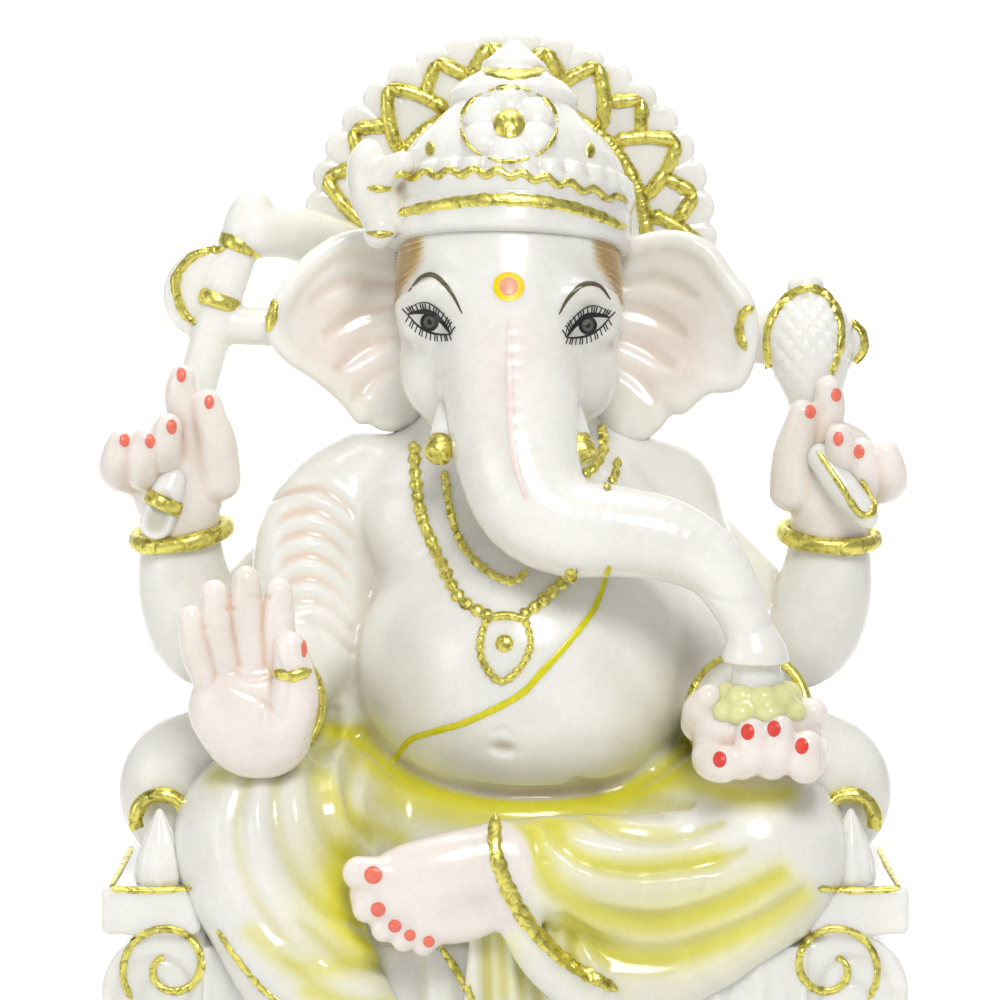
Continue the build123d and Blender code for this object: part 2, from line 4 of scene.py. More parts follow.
import bpy
import numpy as np
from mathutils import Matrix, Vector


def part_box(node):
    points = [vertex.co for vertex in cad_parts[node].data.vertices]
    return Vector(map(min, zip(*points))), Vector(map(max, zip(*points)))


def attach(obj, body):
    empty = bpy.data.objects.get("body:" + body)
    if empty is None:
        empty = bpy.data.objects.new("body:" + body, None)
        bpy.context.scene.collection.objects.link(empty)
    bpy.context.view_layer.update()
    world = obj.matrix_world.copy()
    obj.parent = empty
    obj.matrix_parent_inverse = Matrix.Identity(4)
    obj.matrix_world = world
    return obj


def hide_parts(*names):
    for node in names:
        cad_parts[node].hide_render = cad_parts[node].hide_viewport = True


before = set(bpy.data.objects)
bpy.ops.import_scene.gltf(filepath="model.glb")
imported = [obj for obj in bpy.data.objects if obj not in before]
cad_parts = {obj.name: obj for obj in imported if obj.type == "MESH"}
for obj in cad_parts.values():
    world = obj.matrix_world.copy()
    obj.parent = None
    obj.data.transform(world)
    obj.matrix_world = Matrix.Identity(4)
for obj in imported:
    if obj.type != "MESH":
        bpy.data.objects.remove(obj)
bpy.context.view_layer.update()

import openvdb
from mathutils import Euler, Vector
from mathutils.bvhtree import BVHTree

# The idol is sculpted in millimetres about its own upright middle plane, which the head's box gives.
# "left" and "right" are the viewer's, from the front; -Y is the front.
MM = 0.001
head_low, head_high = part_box("head")
HOME_Y = (head_low.y + head_high.y) / 2 / MM
plinth_low, plinth_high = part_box("plinth")
FAR = 20.0  # the distance that empty clay starts with

# The viewer's eye: a metre from the idol's middle, a little above it
TARGET = np.array([-1.25, 0.0, 187.5])
EYE_TILT = math.radians(5)
EYE_RANGE = 1000.0
EYE = TARGET + EYE_RANGE * np.array([0, -math.cos(EYE_TILT), math.sin(EYE_TILT)])


# ---------------------------------------------------------------- clay: solids on a distance grid

class Clay:
    """A block of clay: signed distances on a grid, in millimetres."""

    def __init__(self, low, high, step):
        self.low = np.array(low, float)
        self.step = step
        count = np.ceil((np.array(high) - self.low) / step).astype(int) + 1
        self.d = np.full(count, FAR, np.float32)

    def window(self, low, high, margin):
        start = np.floor((np.array(low) - margin - self.low) / self.step).astype(int)
        end = np.ceil((np.array(high) + margin - self.low) / self.step).astype(int) + 1
        start = np.clip(start, 0, self.d.shape)
        end = np.clip(end, 0, self.d.shape)
        return tuple(slice(a, b) for a, b in zip(start, end))

    def axes(self, window):
        lines = [self.low[i] + self.step * np.arange(w.start, w.stop) for i, w in enumerate(window)]
        return [
            lines[0].astype(np.float32)[:, None, None],
            lines[1].astype(np.float32)[None, :, None],
            lines[2].astype(np.float32)[None, None, :],
        ]

    def add(self, solid, blend=2.0):
        low, high, distance = solid
        window = self.window(low, high, 9)
        if self.d[window].size:
            self.d[window] = smooth_min(self.d[window], distance(*self.axes(window)), blend)

    def cut(self, solid, blend=1.0):
        low, high, distance = solid
        window = self.window(low, high, 3)
        if self.d[window].size:
            self.d[window] = -smooth_min(-self.d[window], distance(*self.axes(window)), blend)

    def seen_at(self, x, z):
        """The first surface met from the eye through (x, 0, z)."""
        through = np.array([x, 0.0, z])
        ray = (through - EYE) / np.linalg.norm(through - EYE)
        reach = np.arange(900.0, 1060.0, self.step * 0.5)
        at = EYE + reach[:, None] * ray
        inside = np.all((at > self.low) & (at < self.low + self.step * (np.array(self.d.shape) - 2)), axis=1)
        at = at[inside]
        if not len(at):
            return None
        depth = sample(self, self.d, at)
        hits = np.nonzero(depth < 0)[0]
        if not len(hits) or hits[0] == 0:
            return None
        i = hits[0]
        t = depth[i - 1] / (depth[i - 1] - depth[i])
        return at[i - 1] + (at[i] - at[i - 1]) * t

    def furrow(self, points, width, depth, blend=1.2):
        """A groove along a line drawn on the surface as seen from the eye."""
        path = [self.seen_at(x, z) for x, z in curve(points, 4)]
        path = [p for p in path if p is not None]
        if len(path) < 2:
            return
        stations = []
        for i, p in enumerate(path):
            swell = math.sin(math.pi * (i + 0.5) / len(path)) ** 0.5
            stations.append((p[0], p[1] - (width - depth) * swell, p[2], width * swell))
        self.cut(tube(stations, 1), blend)


def smooth_min(a, b, k):
    h = np.clip(0.5 + 0.5 * (a - b) / k, 0, 1)
    return (a + (b - a) * h - k * h * (1 - h)).astype(np.float32)


def curve(points, steps):
    """A smooth line through points of any dimension."""
    p = np.array(points, float)
    if len(p) < 3:
        return [tuple(p[0] + (p[-1] - p[0]) * t) for t in np.linspace(0, 1, steps + 1)]
    padded = np.vstack([2 * p[0] - p[1], p, 2 * p[-1] - p[-2]])
    line = []
    for i in range(1, len(padded) - 2):
        a, b, c, d = padded[i - 1:i + 3]
        for k in range(steps):
            t = k / steps
            line.append(0.5 * (2 * b + (c - a) * t + (2 * a - 5 * b + 4 * c - d) * t ** 2
                               + (3 * b - a - 3 * c + d) * t ** 3))
    line.append(p[-1])
    return [tuple(q) for q in line]


def turned(degrees):
    return Euler([math.radians(a) for a in degrees]).to_matrix()


def local(turn, origin, x, y, z):
    """The grid's points in a frame that is turned about its origin."""
    m = np.array(turn, np.float32)
    p = (x - origin[0], y - origin[1], z - origin[2])
    return [m[0][i] * p[0] + m[1][i] * p[1] + m[2][i] * p[2] for i in range(3)]


def egg(centre, radii, turn=(0, 0, 0)):
    c = np.array(centre, float)
    r = np.array(radii, float)

    def distance(x, y, z):
        q = local(turned(turn), c, x, y, z)
        a = np.sqrt(sum((q[i] / r[i]) ** 2 for i in range(3)))
        b = np.sqrt(sum((q[i] / r[i] ** 2) ** 2 for i in range(3)))
        return a * (a - 1) / np.maximum(b, 1e-4)

    return c - r.max(), c + r.max(), distance


def tube(stations, steps=4, flat=1.0):
    """A round limb through (x, y, z, radius) stations; flat below 1 thins it front to back."""
    s = np.array(curve(stations, steps), float)
    radius = np.maximum(s[:, 3], 0.05)
    reach = radius.max()
    low, high = s[:, :3].min(0) - reach, s[:, :3].max(0) + reach

    def distance(x, y, z):
        best = None
        for i in range(len(s) - 1):
            a, ab = s[i, :3], s[i + 1, :3] - s[i, :3]
            ab_y = ab[1] / flat
            length = max(ab[0] ** 2 + ab_y ** 2 + ab[2] ** 2, 1e-6)
            dx, dy, dz = x - a[0], (y - a[1]) / flat, z - a[2]
            t = np.clip((dx * ab[0] + dy * ab_y + dz * ab[2]) / length, 0, 1)
            d = np.sqrt((dx - t * ab[0]) ** 2 + (dy - t * ab_y) ** 2 + (dz - t * ab[2]) ** 2)
            d = d - (radius[i] + t * (radius[i + 1] - radius[i]))
            best = d if best is None else np.minimum(best, d)
        return best * min(1.0, flat * 1.3)

    return low, high, distance


def block(centre, half, rounding):
    c, h = np.array(centre, float), np.array(half, float) - rounding

    def distance(x, y, z):
        q = (np.abs(x - c[0]) - h[0], np.abs(y - c[1]) - h[1], np.abs(z - c[2]) - h[2])
        outside = np.sqrt(sum(np.maximum(v, 0) ** 2 for v in q))
        return outside + np.minimum(np.maximum(q[0], np.maximum(q[1], q[2])), 0) - rounding

    return c - h - rounding, c + h + rounding, distance


def outline_distance(px, pz, points):
    """Signed distance to a closed outline on the flat grid px by pz."""
    best = np.full(np.broadcast(px, pz).shape, 1e9)
    inside = np.zeros(best.shape, bool)
    for (ax, az), (bx, bz) in zip(points, points[1:] + points[:1]):
        ex, ez = bx - ax, bz - az
        t = np.clip(((px - ax) * ex + (pz - az) * ez) / max(ex * ex + ez * ez, 1e-9), 0, 1)
        best = np.minimum(best, (px - ax - t * ex) ** 2 + (pz - az - t * ez) ** 2)
        crosses = (az > pz) != (bz > pz)
        at = ax + (pz - az) * ex / (ez if abs(ez) > 1e-9 else 1e-9)
        inside ^= crosses & (px < at)
    best = np.sqrt(best)
    return np.where(inside, -best, best)


def sheet(points, middle, thickness, rounding=1.0):
    """A plate with the given front outline; middle(x, z) gives its middle's depth."""
    px, pz = [p[0] for p in points], [p[1] for p in points]
    low = (min(px), -80, min(pz))
    high = (max(px), 60, max(pz))

    def distance(x, y, z):
        flat = outline_distance(x[:, 0, :], z[0, :, :], points)[:, None, :].astype(np.float32)
        deep = np.abs(y - middle(x, z)) - thickness(x, z) / 2
        q, w = flat + rounding, deep + rounding
        outside = np.sqrt(np.maximum(q, 0) ** 2 + np.maximum(w, 0) ** 2)
        return outside + np.minimum(np.maximum(q, w), 0) - rounding

    return low, high, distance


def lathe(profile, base, lean, ripple=None):
    """A turned solid from (height, radius) points, on a leaning axis."""
    heights = np.array([p[0] for p in profile], float)
    radii = np.array([p[1] for p in profile], float)
    b = np.array(base, float)
    middle = np.array(turned(lean) @ Vector((0, 0, heights.mean()))) + b
    reach = max(radii.max(), np.ptp(heights) / 2) * 1.25

    def distance(x, y, z):
        q = local(turned(lean), b, x, y, z)
        around = np.sqrt(q[0] ** 2 + q[1] ** 2)
        wall = np.interp(q[2], heights, radii).astype(np.float32)
        if ripple is not None:
            wall = wall + ripple(np.arctan2(q[0], -q[1]), q[2])
        ends = np.maximum(heights[0] - q[2], q[2] - heights[-1])
        return np.maximum((around - wall) * 0.8, ends)

    return middle - reach, middle + reach, distance


def box_blur(d, size):
    for axis in range(3):
        pad = [(0, 0)] * 3
        pad[axis] = (size + 1, size)
        total = np.cumsum(np.pad(d, pad, mode="edge"), axis=axis, dtype=np.float64)
        ahead = np.take(total, range(2 * size + 1, total.shape[axis]), axis=axis)
        behind = np.take(total, range(0, total.shape[axis] - 2 * size - 1), axis=axis)
        d = ((ahead - behind) / (2 * size + 1)).astype(np.float32)
    return d


def sample(clay, field, points):
    """The field's value at each point, between its eight neighbours."""
    at = np.clip((points - clay.low) / clay.step, 0, np.array(field.shape) - 1.001)
    i = at.astype(int)
    f = at - i
    value = np.zeros(len(points))
    for corner in range(8):
        step = np.array([corner & 1, corner >> 1 & 1, corner >> 2 & 1])
        weight = np.prod(np.where(step, f, 1 - f), axis=1)
        j = i + step
        value += weight * field[j[:, 0], j[:, 1], j[:, 2]]
    return value


# ---------------------------------------------------------------- colour

WHITE = np.array([0.88, 0.868, 0.822])
# painted shade: the olive grey that hollows and eye sockets are darkened towards
SHADE = np.array([0.55, 0.535, 0.42])
YELLOW = np.array([0.78, 0.73, 0.035])
OLIVE = np.array([0.62, 0.60, 0.30])
PEACH = np.array([0.90, 0.66, 0.50])
PINK = np.array([0.93, 0.72, 0.66])
TAN = np.array([0.52, 0.34, 0.12])
EYE_WHITE = np.array([0.66, 0.61, 0.56])
SWEET = np.array([0.82, 0.80, 0.30])


def mix(colours, other, amount):
    a = np.clip(amount * np.ones(len(colours)), 0, 1)[:, None]
    return colours * (1 - a) + other * a


def ramp(value, low, high):
    t = np.clip((value - low) / (high - low), 0, 1)
    return t * t * (3 - 2 * t)


def near(points, centre, radii):
    """1 at the centre of an oval region, falling to 0 at its edge."""
    d = np.sqrt((((points - np.array(centre)) / np.array(radii)) ** 2).sum(1))
    return ramp(-d, -1.0, -0.3)


def flattened(at):
    """Where points show from the front, as x and z on the middle plane."""
    t = -EYE[1] / (at[:, 1] - EYE[1])
    return EYE[0] + (at[:, 0] - EYE[0]) * t, EYE[2] + (at[:, 2] - EYE[2]) * t


def soft_line(at, line, width):
    """A soft line drawn from the front, used for paint and for painted shade: 1 on it, fading out over the
    width.
    """
    px, pz = flattened(at)
    least = np.full(len(at), 1e3)
    path = curve(line, 4)
    for (ax, az), (bx, bz) in zip(path[:-1], path[1:]):
        dx, dz = bx - ax, bz - az
        along = np.clip(((px - ax) * dx + (pz - az) * dz) / max(dx * dx + dz * dz, 1e-6), 0, 1)
        least = np.minimum(least, np.hypot(px - ax - along * dx, pz - az - along * dz))
    return np.exp(-(least / width) ** 2)


# ---------------------------------------------------------------- materials

def new_material(name, **values):
    """A material and its shader, whose inputs are set by name, with _ for a space."""
    material = bpy.data.materials.new(name)
    material.use_nodes = True
    shader = material.node_tree.nodes["Principled BSDF"]
    for key, value in values.items():
        shader.inputs[key.replace("_", " ")].default_value = value
    return material, shader


def add_node(material, kind, links, **values):
    """A node with its inputs linked to other nodes' outputs, or set."""
    node = material.node_tree.nodes.new("ShaderNode" + kind)
    for key, value in values.items():
        node.inputs[key.replace("_", " ")].default_value = value
    join(material, node, links)
    return node


def join(material, node, links):
    for key, output in links.items():
        material.node_tree.links.new(output, node.inputs[key])


def texture(material, kind, **values):
    place = add_node(material, "TexCoord", {})
    return add_node(material, kind, {"Vector": place.outputs["Object"]}, **values)


def tones(material, factor, low, low_colour, high, high_colour):
    """A colour that runs from one to the other as the factor runs from low to high."""
    node = add_node(material, "ValToRGB", {"Fac": factor})
    for stop, position, colour in zip(node.color_ramp.elements, (low, high), (low_colour, high_colour)):
        stop.position = position
        stop.color = (*colour, 1)
    return node.outputs["Color"]


def multiply(material, a, b):
    node = add_node(material, "Mix", {})
    node.data_type = "RGBA"
    node.blend_type = "MULTIPLY"
    node.inputs["Factor"].default_value = 1
    join(material, node, {"A": a, "B": b})
    return node.outputs["Result"]


def bump(material, shader, height, strength, distance):
    node = add_node(material, "Bump", {"Height": height}, Strength=strength, Distance=distance)
    join(material, shader, {"Normal": node.outputs["Normal"]})


def marble():
    """Polished white stone, clouded and finely grained, under the colour given on each mesh, which holds its
    paint and its painted shade.
    """
    m, shader = new_material("marble", Roughness=0.2, IOR=1.5, Subsurface_Weight=0.55,
                             Subsurface_Radius=(1.0, 0.9, 0.72), Subsurface_Scale=0.005,
                             Coat_Weight=0.25, Coat_Roughness=0.12)
    clouds = texture(m, "TexNoise", Scale=38, Detail=6, Distortion=0.6).outputs["Fac"]
    grain = texture(m, "TexVoronoi", Scale=900).outputs["Color"]
    stone = multiply(m, tones(m, clouds, 0.36, (0.90, 0.90, 0.88), 0.60, (1, 1, 1)),
                     tones(m, grain, 0, (0.955, 0.955, 0.95), 1, (1, 1, 1)))
    paint_and_shade = add_node(m, "Attribute", {})
    paint_and_shade.attribute_name = "paint_and_shade"
    join(m, shader, {"Base Color": multiply(m, paint_and_shade.outputs["Color"], stone)})
    bump(m, shader, clouds, 0.12, 0.0003)
    return m


def gold_leaf():
    """Crinkled leaf: its creases are duller, and darker in colour, which is partly the leaf's own cracks and
    partly painted dark reflection.
    """
    m, shader = new_material("gold_leaf", Metallic=0.95)
    crinkle = texture(m, "TexNoise", Scale=420, Detail=5, Distortion=1.2).outputs["Fac"]
    polish = add_node(m, "MapRange", {"Value": crinkle}, To_Min=0.42, To_Max=0.2)
    # The dark colour low in the crinkle is painted dark reflection, over the leaf's real cracks.
    join(m, shader, {"Base Color": tones(m, crinkle, 0.24, (0.16, 0.13, 0.012), 0.52, (0.86, 0.77, 0.19)),
                     "Roughness": polish.outputs["Result"]})
    bump(m, shader, crinkle, 0.6, 0.0004)
    return m


def paint(name, colour):
    """Brush paint, a little uneven."""
    m, shader = new_material(name, Roughness=0.3)
    streaks = texture(m, "TexNoise", Scale=700, Detail=3).outputs["Fac"]
    join(m, shader, {"Base Color": tones(m, streaks, 0.3, [c * 0.82 for c in colour], 0.65, colour)})
    return m


MARBLE = marble()
GOLD = gold_leaf()
NAIL = paint("nail_paint", (0.90, 0.20, 0.13))
NAIL_RED = paint("nail_paint_red", (0.78, 0.06, 0.04))
YELLOW_LINE = paint("thread_yellow", (0.72, 0.66, 0.0))
BINDI_YELLOW = paint("bindi_yellow", (0.93, 0.68, 0.0))
BINDI_RED = paint("bindi_red", (0.90, 0.40, 0.26))
INK = paint("eye_ink", (0.012, 0.010, 0.010))
IRIS = paint("eye_iris", (0.10, 0.09, 0.075))
BROW = paint("brow_brown", (0.10, 0.075, 0.035))
PALE_PINK = paint("trunk_line", (0.90, 0.73, 0.68))
HAIR = paint("hair_tan", (0.42, 0.26, 0.09))


# ---------------------------------------------------------------- pieces

made = []


def finish_piece(name, vertices, faces, material, nodes=(), colours=None):
    """Turns millimetre vertices about the figure's middle plane into a piece in the row frame."""
    v = np.array(vertices, float) + np.array([0, HOME_Y, 0])
    mesh = bpy.data.meshes.new(name)
    mesh.from_pydata((v * MM).tolist(), [], [list(map(int, f)) for f in faces])
    mesh.update()
    mesh.shade_smooth()
    if colours is not None:
        layer = mesh.color_attributes.new("paint_and_shade", "FLOAT_COLOR", "POINT")
        data = np.ones((len(v), 4), np.float32)
        data[:, :3] = colours
        layer.data.foreach_set("color", data.ravel())
    mesh.materials.append(material)
    piece = bpy.data.objects.new(name, mesh)
    bpy.context.collection.objects.link(piece)
    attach(piece, "root")
    if nodes:
        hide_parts(*nodes)
    made.append(piece)
    return piece


def cast(name, clay, nodes, paintwork=None):
    """Casts a block of clay as a marble piece, with painted shade in its hollows and its airbrushed paint."""
    grid = openvdb.FloatGrid(FAR)
    grid.copyFromArray(clay.d, tolerance=0)
    points, quads = grid.convertToQuads(0.0)
    points = np.array(points, float)
    at = points * clay.step + clay.low
    normals = np.stack([sample(clay, g, at) for g in np.gradient(np.clip(clay.d, -6, 6))], 1)
    normals /= np.maximum(np.linalg.norm(normals, axis=1, keepdims=True), 1e-6)
    a, b, c = (points[quads[:, i]] for i in range(3))
    facing = (np.cross(b - a, c - a) * normals[quads[:, 0]]).sum(1)
    if np.median(facing) < 0:
        quads = quads[:, ::-1]
    hollow = hollowness(clay, at, 6, 2.4)
    # Painted shade: the stone is darkened down in narrow hollows, and again more broadly in wide ones.
    colours = mix(np.tile(WHITE, (len(at), 1)), SHADE, 0.75 * ramp(hollow, 0.05, 1.3))
    colours = mix(colours, SHADE, 0.55 * ramp(hollowness(clay, at, 14, 7.0), 0.3, 4.5))
    if paintwork is not None:
        colours = paintwork(at, normals, hollow, colours)
    return finish_piece(name, at, quads, MARBLE, nodes, np.clip(colours, 0, 1))


def hollowness(clay, at, depth, size):
    """How far each point lies down in a hollow of about the given size."""
    reach = max(1, int(round(size / clay.step)))
    return -sample(clay, box_blur(np.clip(clay.d, -depth, depth), reach), at)


def surface_tree(pieces):
    """A tree for throwing lines onto pieces, in millimetres about the figure's middle plane."""
    vertices, polygons = [], []
    shift = np.array([0, HOME_Y, 0])
    for piece in pieces:
        start = len(vertices)
        co = np.zeros(len(piece.data.vertices) * 3)
        piece.data.vertices.foreach_get("co", co)
        vertices.extend((co.reshape(-1, 3) / MM - shift).tolist())
        polygons.extend([[i + start for i in p.vertices] for p in piece.data.polygons])
    return BVHTree.FromPolygons(vertices, polygons)


def skin(start, rows, columns, around=False, closed=False, flipped=False):
    """The quads of a grid of vertices; around joins the last column to the first, closed the last row."""
    faces = []
    for i in range(rows if closed else rows - 1):
        for j in range(columns if around else columns - 1):
            a, b, k = start + i * columns, start + (i + 1) % rows * columns, (j + 1) % columns
            faces.append((a + j, a + k, b + k, b + j) if flipped else (a + j, b + j, b + k, a + k))
    return faces


def throw(tree, x, z):
    """Where the line from the eye through (x, 0, z) meets the surface, and the normal there."""
    ray = Vector((x, 0, z)) - Vector(EYE)
    hit, normal, _, _ = tree.ray_cast(Vector(EYE), ray.normalized())
    return hit, normal


LIFT = 0.04         # a line's clearance from the stone
SUNK = 0.12         # how deep the edges of a raised line go into it
TALLEST_STEP = 4.0  # a line breaks where the stone steps back further than this


def stroke(name, tree, points, width, material, rise, taper=0.0, wobble=0.0, beads=0.0, across=6, steps=8):
    """A brush line, or a raised gilded ridge, thrown onto the surface from the viewer's side."""
    rng = random.Random(name)
    line = np.array(curve(points, steps))
    count = len(line)
    step_length = np.linalg.norm(np.diff(line, axis=0), axis=1).sum() / max(count - 1, 1)
    finer = max(1, int(math.ceil(step_length / 0.6)))
    if finer > 1:
        t = np.linspace(0, count - 1, (count - 1) * finer + 1)
        line = np.stack([np.interp(t, np.arange(count), line[:, i]) for i in range(2)], 1)
        count = len(line)
    rows, along = [], 0.0
    phase = rng.random() * 6
    for i in range(count):
        before, after = line[max(i - 1, 0)], line[min(i + 1, count - 1)]
        direction = (after - before) / max(np.linalg.norm(after - before), 1e-6)
        side = np.array([-direction[1], direction[0]])
        along += np.linalg.norm(line[i] - line[max(i - 1, 0)])
        t = i / max(count - 1, 1)
        wide = width * (1 - taper * abs(2 * t - 1) ** 1.5)
        wide *= 1 + wobble * (math.sin(along * 1.9 + phase) + math.sin(along * 0.83 + 2 * phase)) / 2
        if beads:
            wide *= 0.72 + 0.45 * abs(math.sin(along * math.pi / beads))
        edge = min(1.0, (min(i, count - 1 - i) * step_length / finer + 0.15) / max(width * 0.5, 0.1))
        wide *= math.sqrt(max(edge, 0.05))
        middle, middle_normal = throw(tree, *line[i])
        if middle is None:
            rows.append(None)
            continue
        row = []
        for j in range(across + 1):
            u = 2 * j / across - 1
            spot = line[i] + side * wide * u / 2
            hit, normal = throw(tree, *spot)
            if hit is None or (hit - middle).length > 1.5 * width + 1.0:
                hit = middle + Vector((side[0], 0, side[1])) * float(wide * u / 2)
                normal = middle_normal
            swell = math.sqrt(max(0.0, 1 - u * u))
            bead = abs(math.sin(along * math.pi / beads)) * 0.5 + 0.6 if beads else 1.0
            sunk = SUNK if rise > 0.2 and swell == 0 else 0
            row.append(hit + normal * (LIFT + rise * swell * bead - sunk))
        rows.append(row)
    vertices, faces = [], []
    for row_a, row_b in zip(rows[:-1], rows[1:]):
        if row_a is None or row_b is None:
            continue
        if (row_a[across // 2] - row_b[across // 2]).length > TALLEST_STEP:
            continue
        start = len(vertices)
        vertices.extend([tuple(v) for v in row_a + row_b])
        faces.extend(skin(start, 2, across + 1))
    if not faces:
        return None
    return finish_piece(name, vertices, faces, material)


def dab(name, tree, x, z, rx, rz, material, rise):
    """An oval touch of paint, or a small gilded boss."""
    vertices = []
    rings, spokes = 5, 18
    for r in range(rings + 1):
        for s in range(spokes):
            angle = 2 * math.pi * s / spokes
            u, v = rx * r / rings * math.cos(angle), rz * r / rings * math.sin(angle)
            hit, normal = throw(tree, x + u, z + v)
            if hit is None:
                return None
            height = 0.05 + rise * math.sqrt(max(0, 1 - (r / rings) ** 2))
            vertices.append(tuple(hit + normal * height))
    return finish_piece(name, vertices, skin(0, rings + 1, spokes, around=True), material)


def ring(name, centre, radius, thickness, turn, nodes=(), start=0, end=360):
    """A bangle, slightly uneven, as it is carved."""
    spin = turned(turn)
    closed = end - start >= 360
    long, short = 96, 14
    vertices = []
    for i in range(long):
        a = math.radians(start + (end - start) * i / (long if closed else long - 1))
        for j in range(short):
            b = 2 * math.pi * j / short
            thick = thickness * (1 + 0.06 * math.sin(5 * a + 1))
            out = radius + thick * math.cos(b)
            p = Vector((out * math.cos(a), out * math.sin(a), thick * 1.15 * math.sin(b)))
            vertices.append(tuple(Vector(centre) + spin @ p))
    return finish_piece(name, vertices, skin(0, long, short, around=True, closed=closed), GOLD, nodes)


# ---------------------------------------------------------------- throne

SIDES = ((-1, "left"), (1, "right"))
TASSEL_X = 83.3
SEAT_HALF = 73.0
SEAT_FRONT = -46.0
LEDGE_TOP = 98.5
LEDGE_LOW = 87.0
SEAT_TOP = 84.0
PLINTH_H = plinth_high.z / MM


def throne():
    low = (plinth_low.x / MM - 1, plinth_low.y / MM - HOME_Y - 1, -1)
    high = (plinth_high.x / MM + 1, plinth_high.y / MM - HOME_Y + 1, LEDGE_TOP + 2)
    half_w = plinth_high.x / MM
    half_d = (plinth_high.y - plinth_low.y) / 2 / MM
    mid_y = (plinth_high.y + plinth_low.y) / 2 / MM - HOME_Y
    clay = Clay(low, high, 0.9)
    clay.add(block((0, mid_y, 4.5), (half_w, half_d, 4.5), 2.2), 0.1)
    clay.add(block((0, mid_y, 12.0), (half_w - 4.6, half_d - 3, 4.0), 2.0), 0.6)
    seat_half_h = (SEAT_TOP - PLINTH_H) / 2 + 1
    clay.add(block((0, 0, (PLINTH_H + SEAT_TOP) / 2), (SEAT_HALF, 45.5, seat_half_h), 1.5), 1.0)

    def drape(x, y, z):
        folds = 1.5 * np.cos(x * 0.56 + 0.5 * np.sin(x * 0.11 + z * 0.02)) + 0.5 * np.cos(x * 1.27 + 1.0)
        front = y - (SEAT_FRONT - 3.4) - folds * np.clip((92 - z) / 30, 0.35, 1)
        edge = np.maximum(np.abs(x) - (SEAT_HALF - 0.5), np.maximum(z - SEAT_TOP, 15 - z))
        return np.maximum(np.maximum(-front, y - SEAT_FRONT - 1), edge)

    clay.add((np.array([-74, -53, 14]), np.array([74, -43, 86]), drape), 1.0)
    for side in (-1, 1):
        clay.add(block((side * 85, -2, (LEDGE_TOP + LEDGE_LOW) / 2), (12, 48, 5.75), 1.6), 0.8)
        clay.add(block((side * 78, -1, 52), (6, 45.5, 36), 1.5), 1.5)
        add_volute(clay, side)
    cast("throne", clay, ["plinth", "seat_block", "seat_drape", "arm_ledge_left", "arm_ledge_right",
                          "arm_console_left", "arm_console_right"], paint_throne)


def add_volute(clay, side):
    """The scroll bracket: two rolls front to back, each with a spiral cut in its front."""
    for x, z, r in ((83.0, 72.5, 14.2), (85.0, 27.0, 11.0)):
        def roll(px, py, pz, x=x, z=z, r=r):
            around = np.sqrt((px - side * x) ** 2 + (pz - z) ** 2) - r
            return np.maximum(around, np.abs(py + 1.5) - 46)
        clay.add((np.array([side * x - r, -48, z - r]), np.array([side * x + r, 45, z + r]), roll), 2.5)
        turns = []
        for i in range(26):
            a = math.radians(-60 + 21 * i)
            reach = r * 0.80 * (1 - i / 32)
            turns.append((side * (x + reach * math.cos(a)), -48.0, z + reach * math.sin(a), 1.15))
        clay.cut(tube(turns, 1), 0.8)


def paint_throne(at, normal, hollow, colours):
    fold = ramp(hollow, 0.10, 0.5) * (at[:, 2] > 17) * (at[:, 2] < SEAT_TOP) * (np.abs(at[:, 0]) < SEAT_HALF)
    return mix(colours, PEACH, 0.35 * fold)


def bolsters():
    for side, name in SIDES:
        clay = Clay((side * 76 - 24, -42, 96), (side * 76 + 24, 48, 140), 0.8)
        radius = 19.4

        def roll(x, y, z, side=side):
            around = np.sqrt((x - side * 75.5) ** 2 + (z - (LEDGE_TOP + radius)) ** 2)
            ends = np.clip((np.abs(y - 4) - 27) / 13, 0, 1)
            wall = around - radius * np.sqrt(np.clip(1 - ends ** 2.2, 0.0, 1)) + 0.01
            return wall * 0.75 + np.maximum(np.abs(y - 4) - 40, 0)

        clay.add((np.array([side * 75.5 - 20, -37, 97]), np.array([side * 75.5 + 20, 45, 139]), roll), 0.5)
        cast(f"bolster_{name}", clay, [f"bolster_{name}"])


def tassels():
    profile = [(0, 5.2), (2, 6.0), (6, 5.6), (11, 4.0), (15, 2.2), (18, 0.8), (18.6, 0.3)]
    for side, name in SIDES:
        x = side * TASSEL_X
        clay = Clay((x - 9, -52, 96), (x + 9, -33, 119), 0.45)
        base = (x, -42.5, LEDGE_TOP - 0.5)
        clay.add(lathe(profile, base, (0, 0, 0), lambda angle, height: 0.25 * np.cos(8 * angle)), 0.5)
        cast(f"bolster_tassel_{name}", clay, [f"bolster_tassel_{name}"])


# ---------------------------------------------------------------- halo

HALO_X, HALO_Z, HALO_R = 1.3, 252.0, 53.5
HALO_FACE = 36.0
HALO_FOOT = 228.0
SCALLOPS = 38


def halo_outline():
    """The scalloped rim, closed straight across behind the shoulders."""
    points = []
    foot = math.degrees(math.asin((HALO_FOOT - HALO_Z) / HALO_R))
    count = 420
    for i in range(count + 1):
        a = foot + (180 - 2 * foot) * i / count
        lobe = abs(math.cos(math.radians(a) * SCALLOPS / 2))
        r = HALO_R - 2.6 * (1 - math.sqrt(max(lobe, 0)))
        points.append((HALO_X + r * math.cos(math.radians(a)), HALO_Z + r * math.sin(math.radians(a))))
    return points


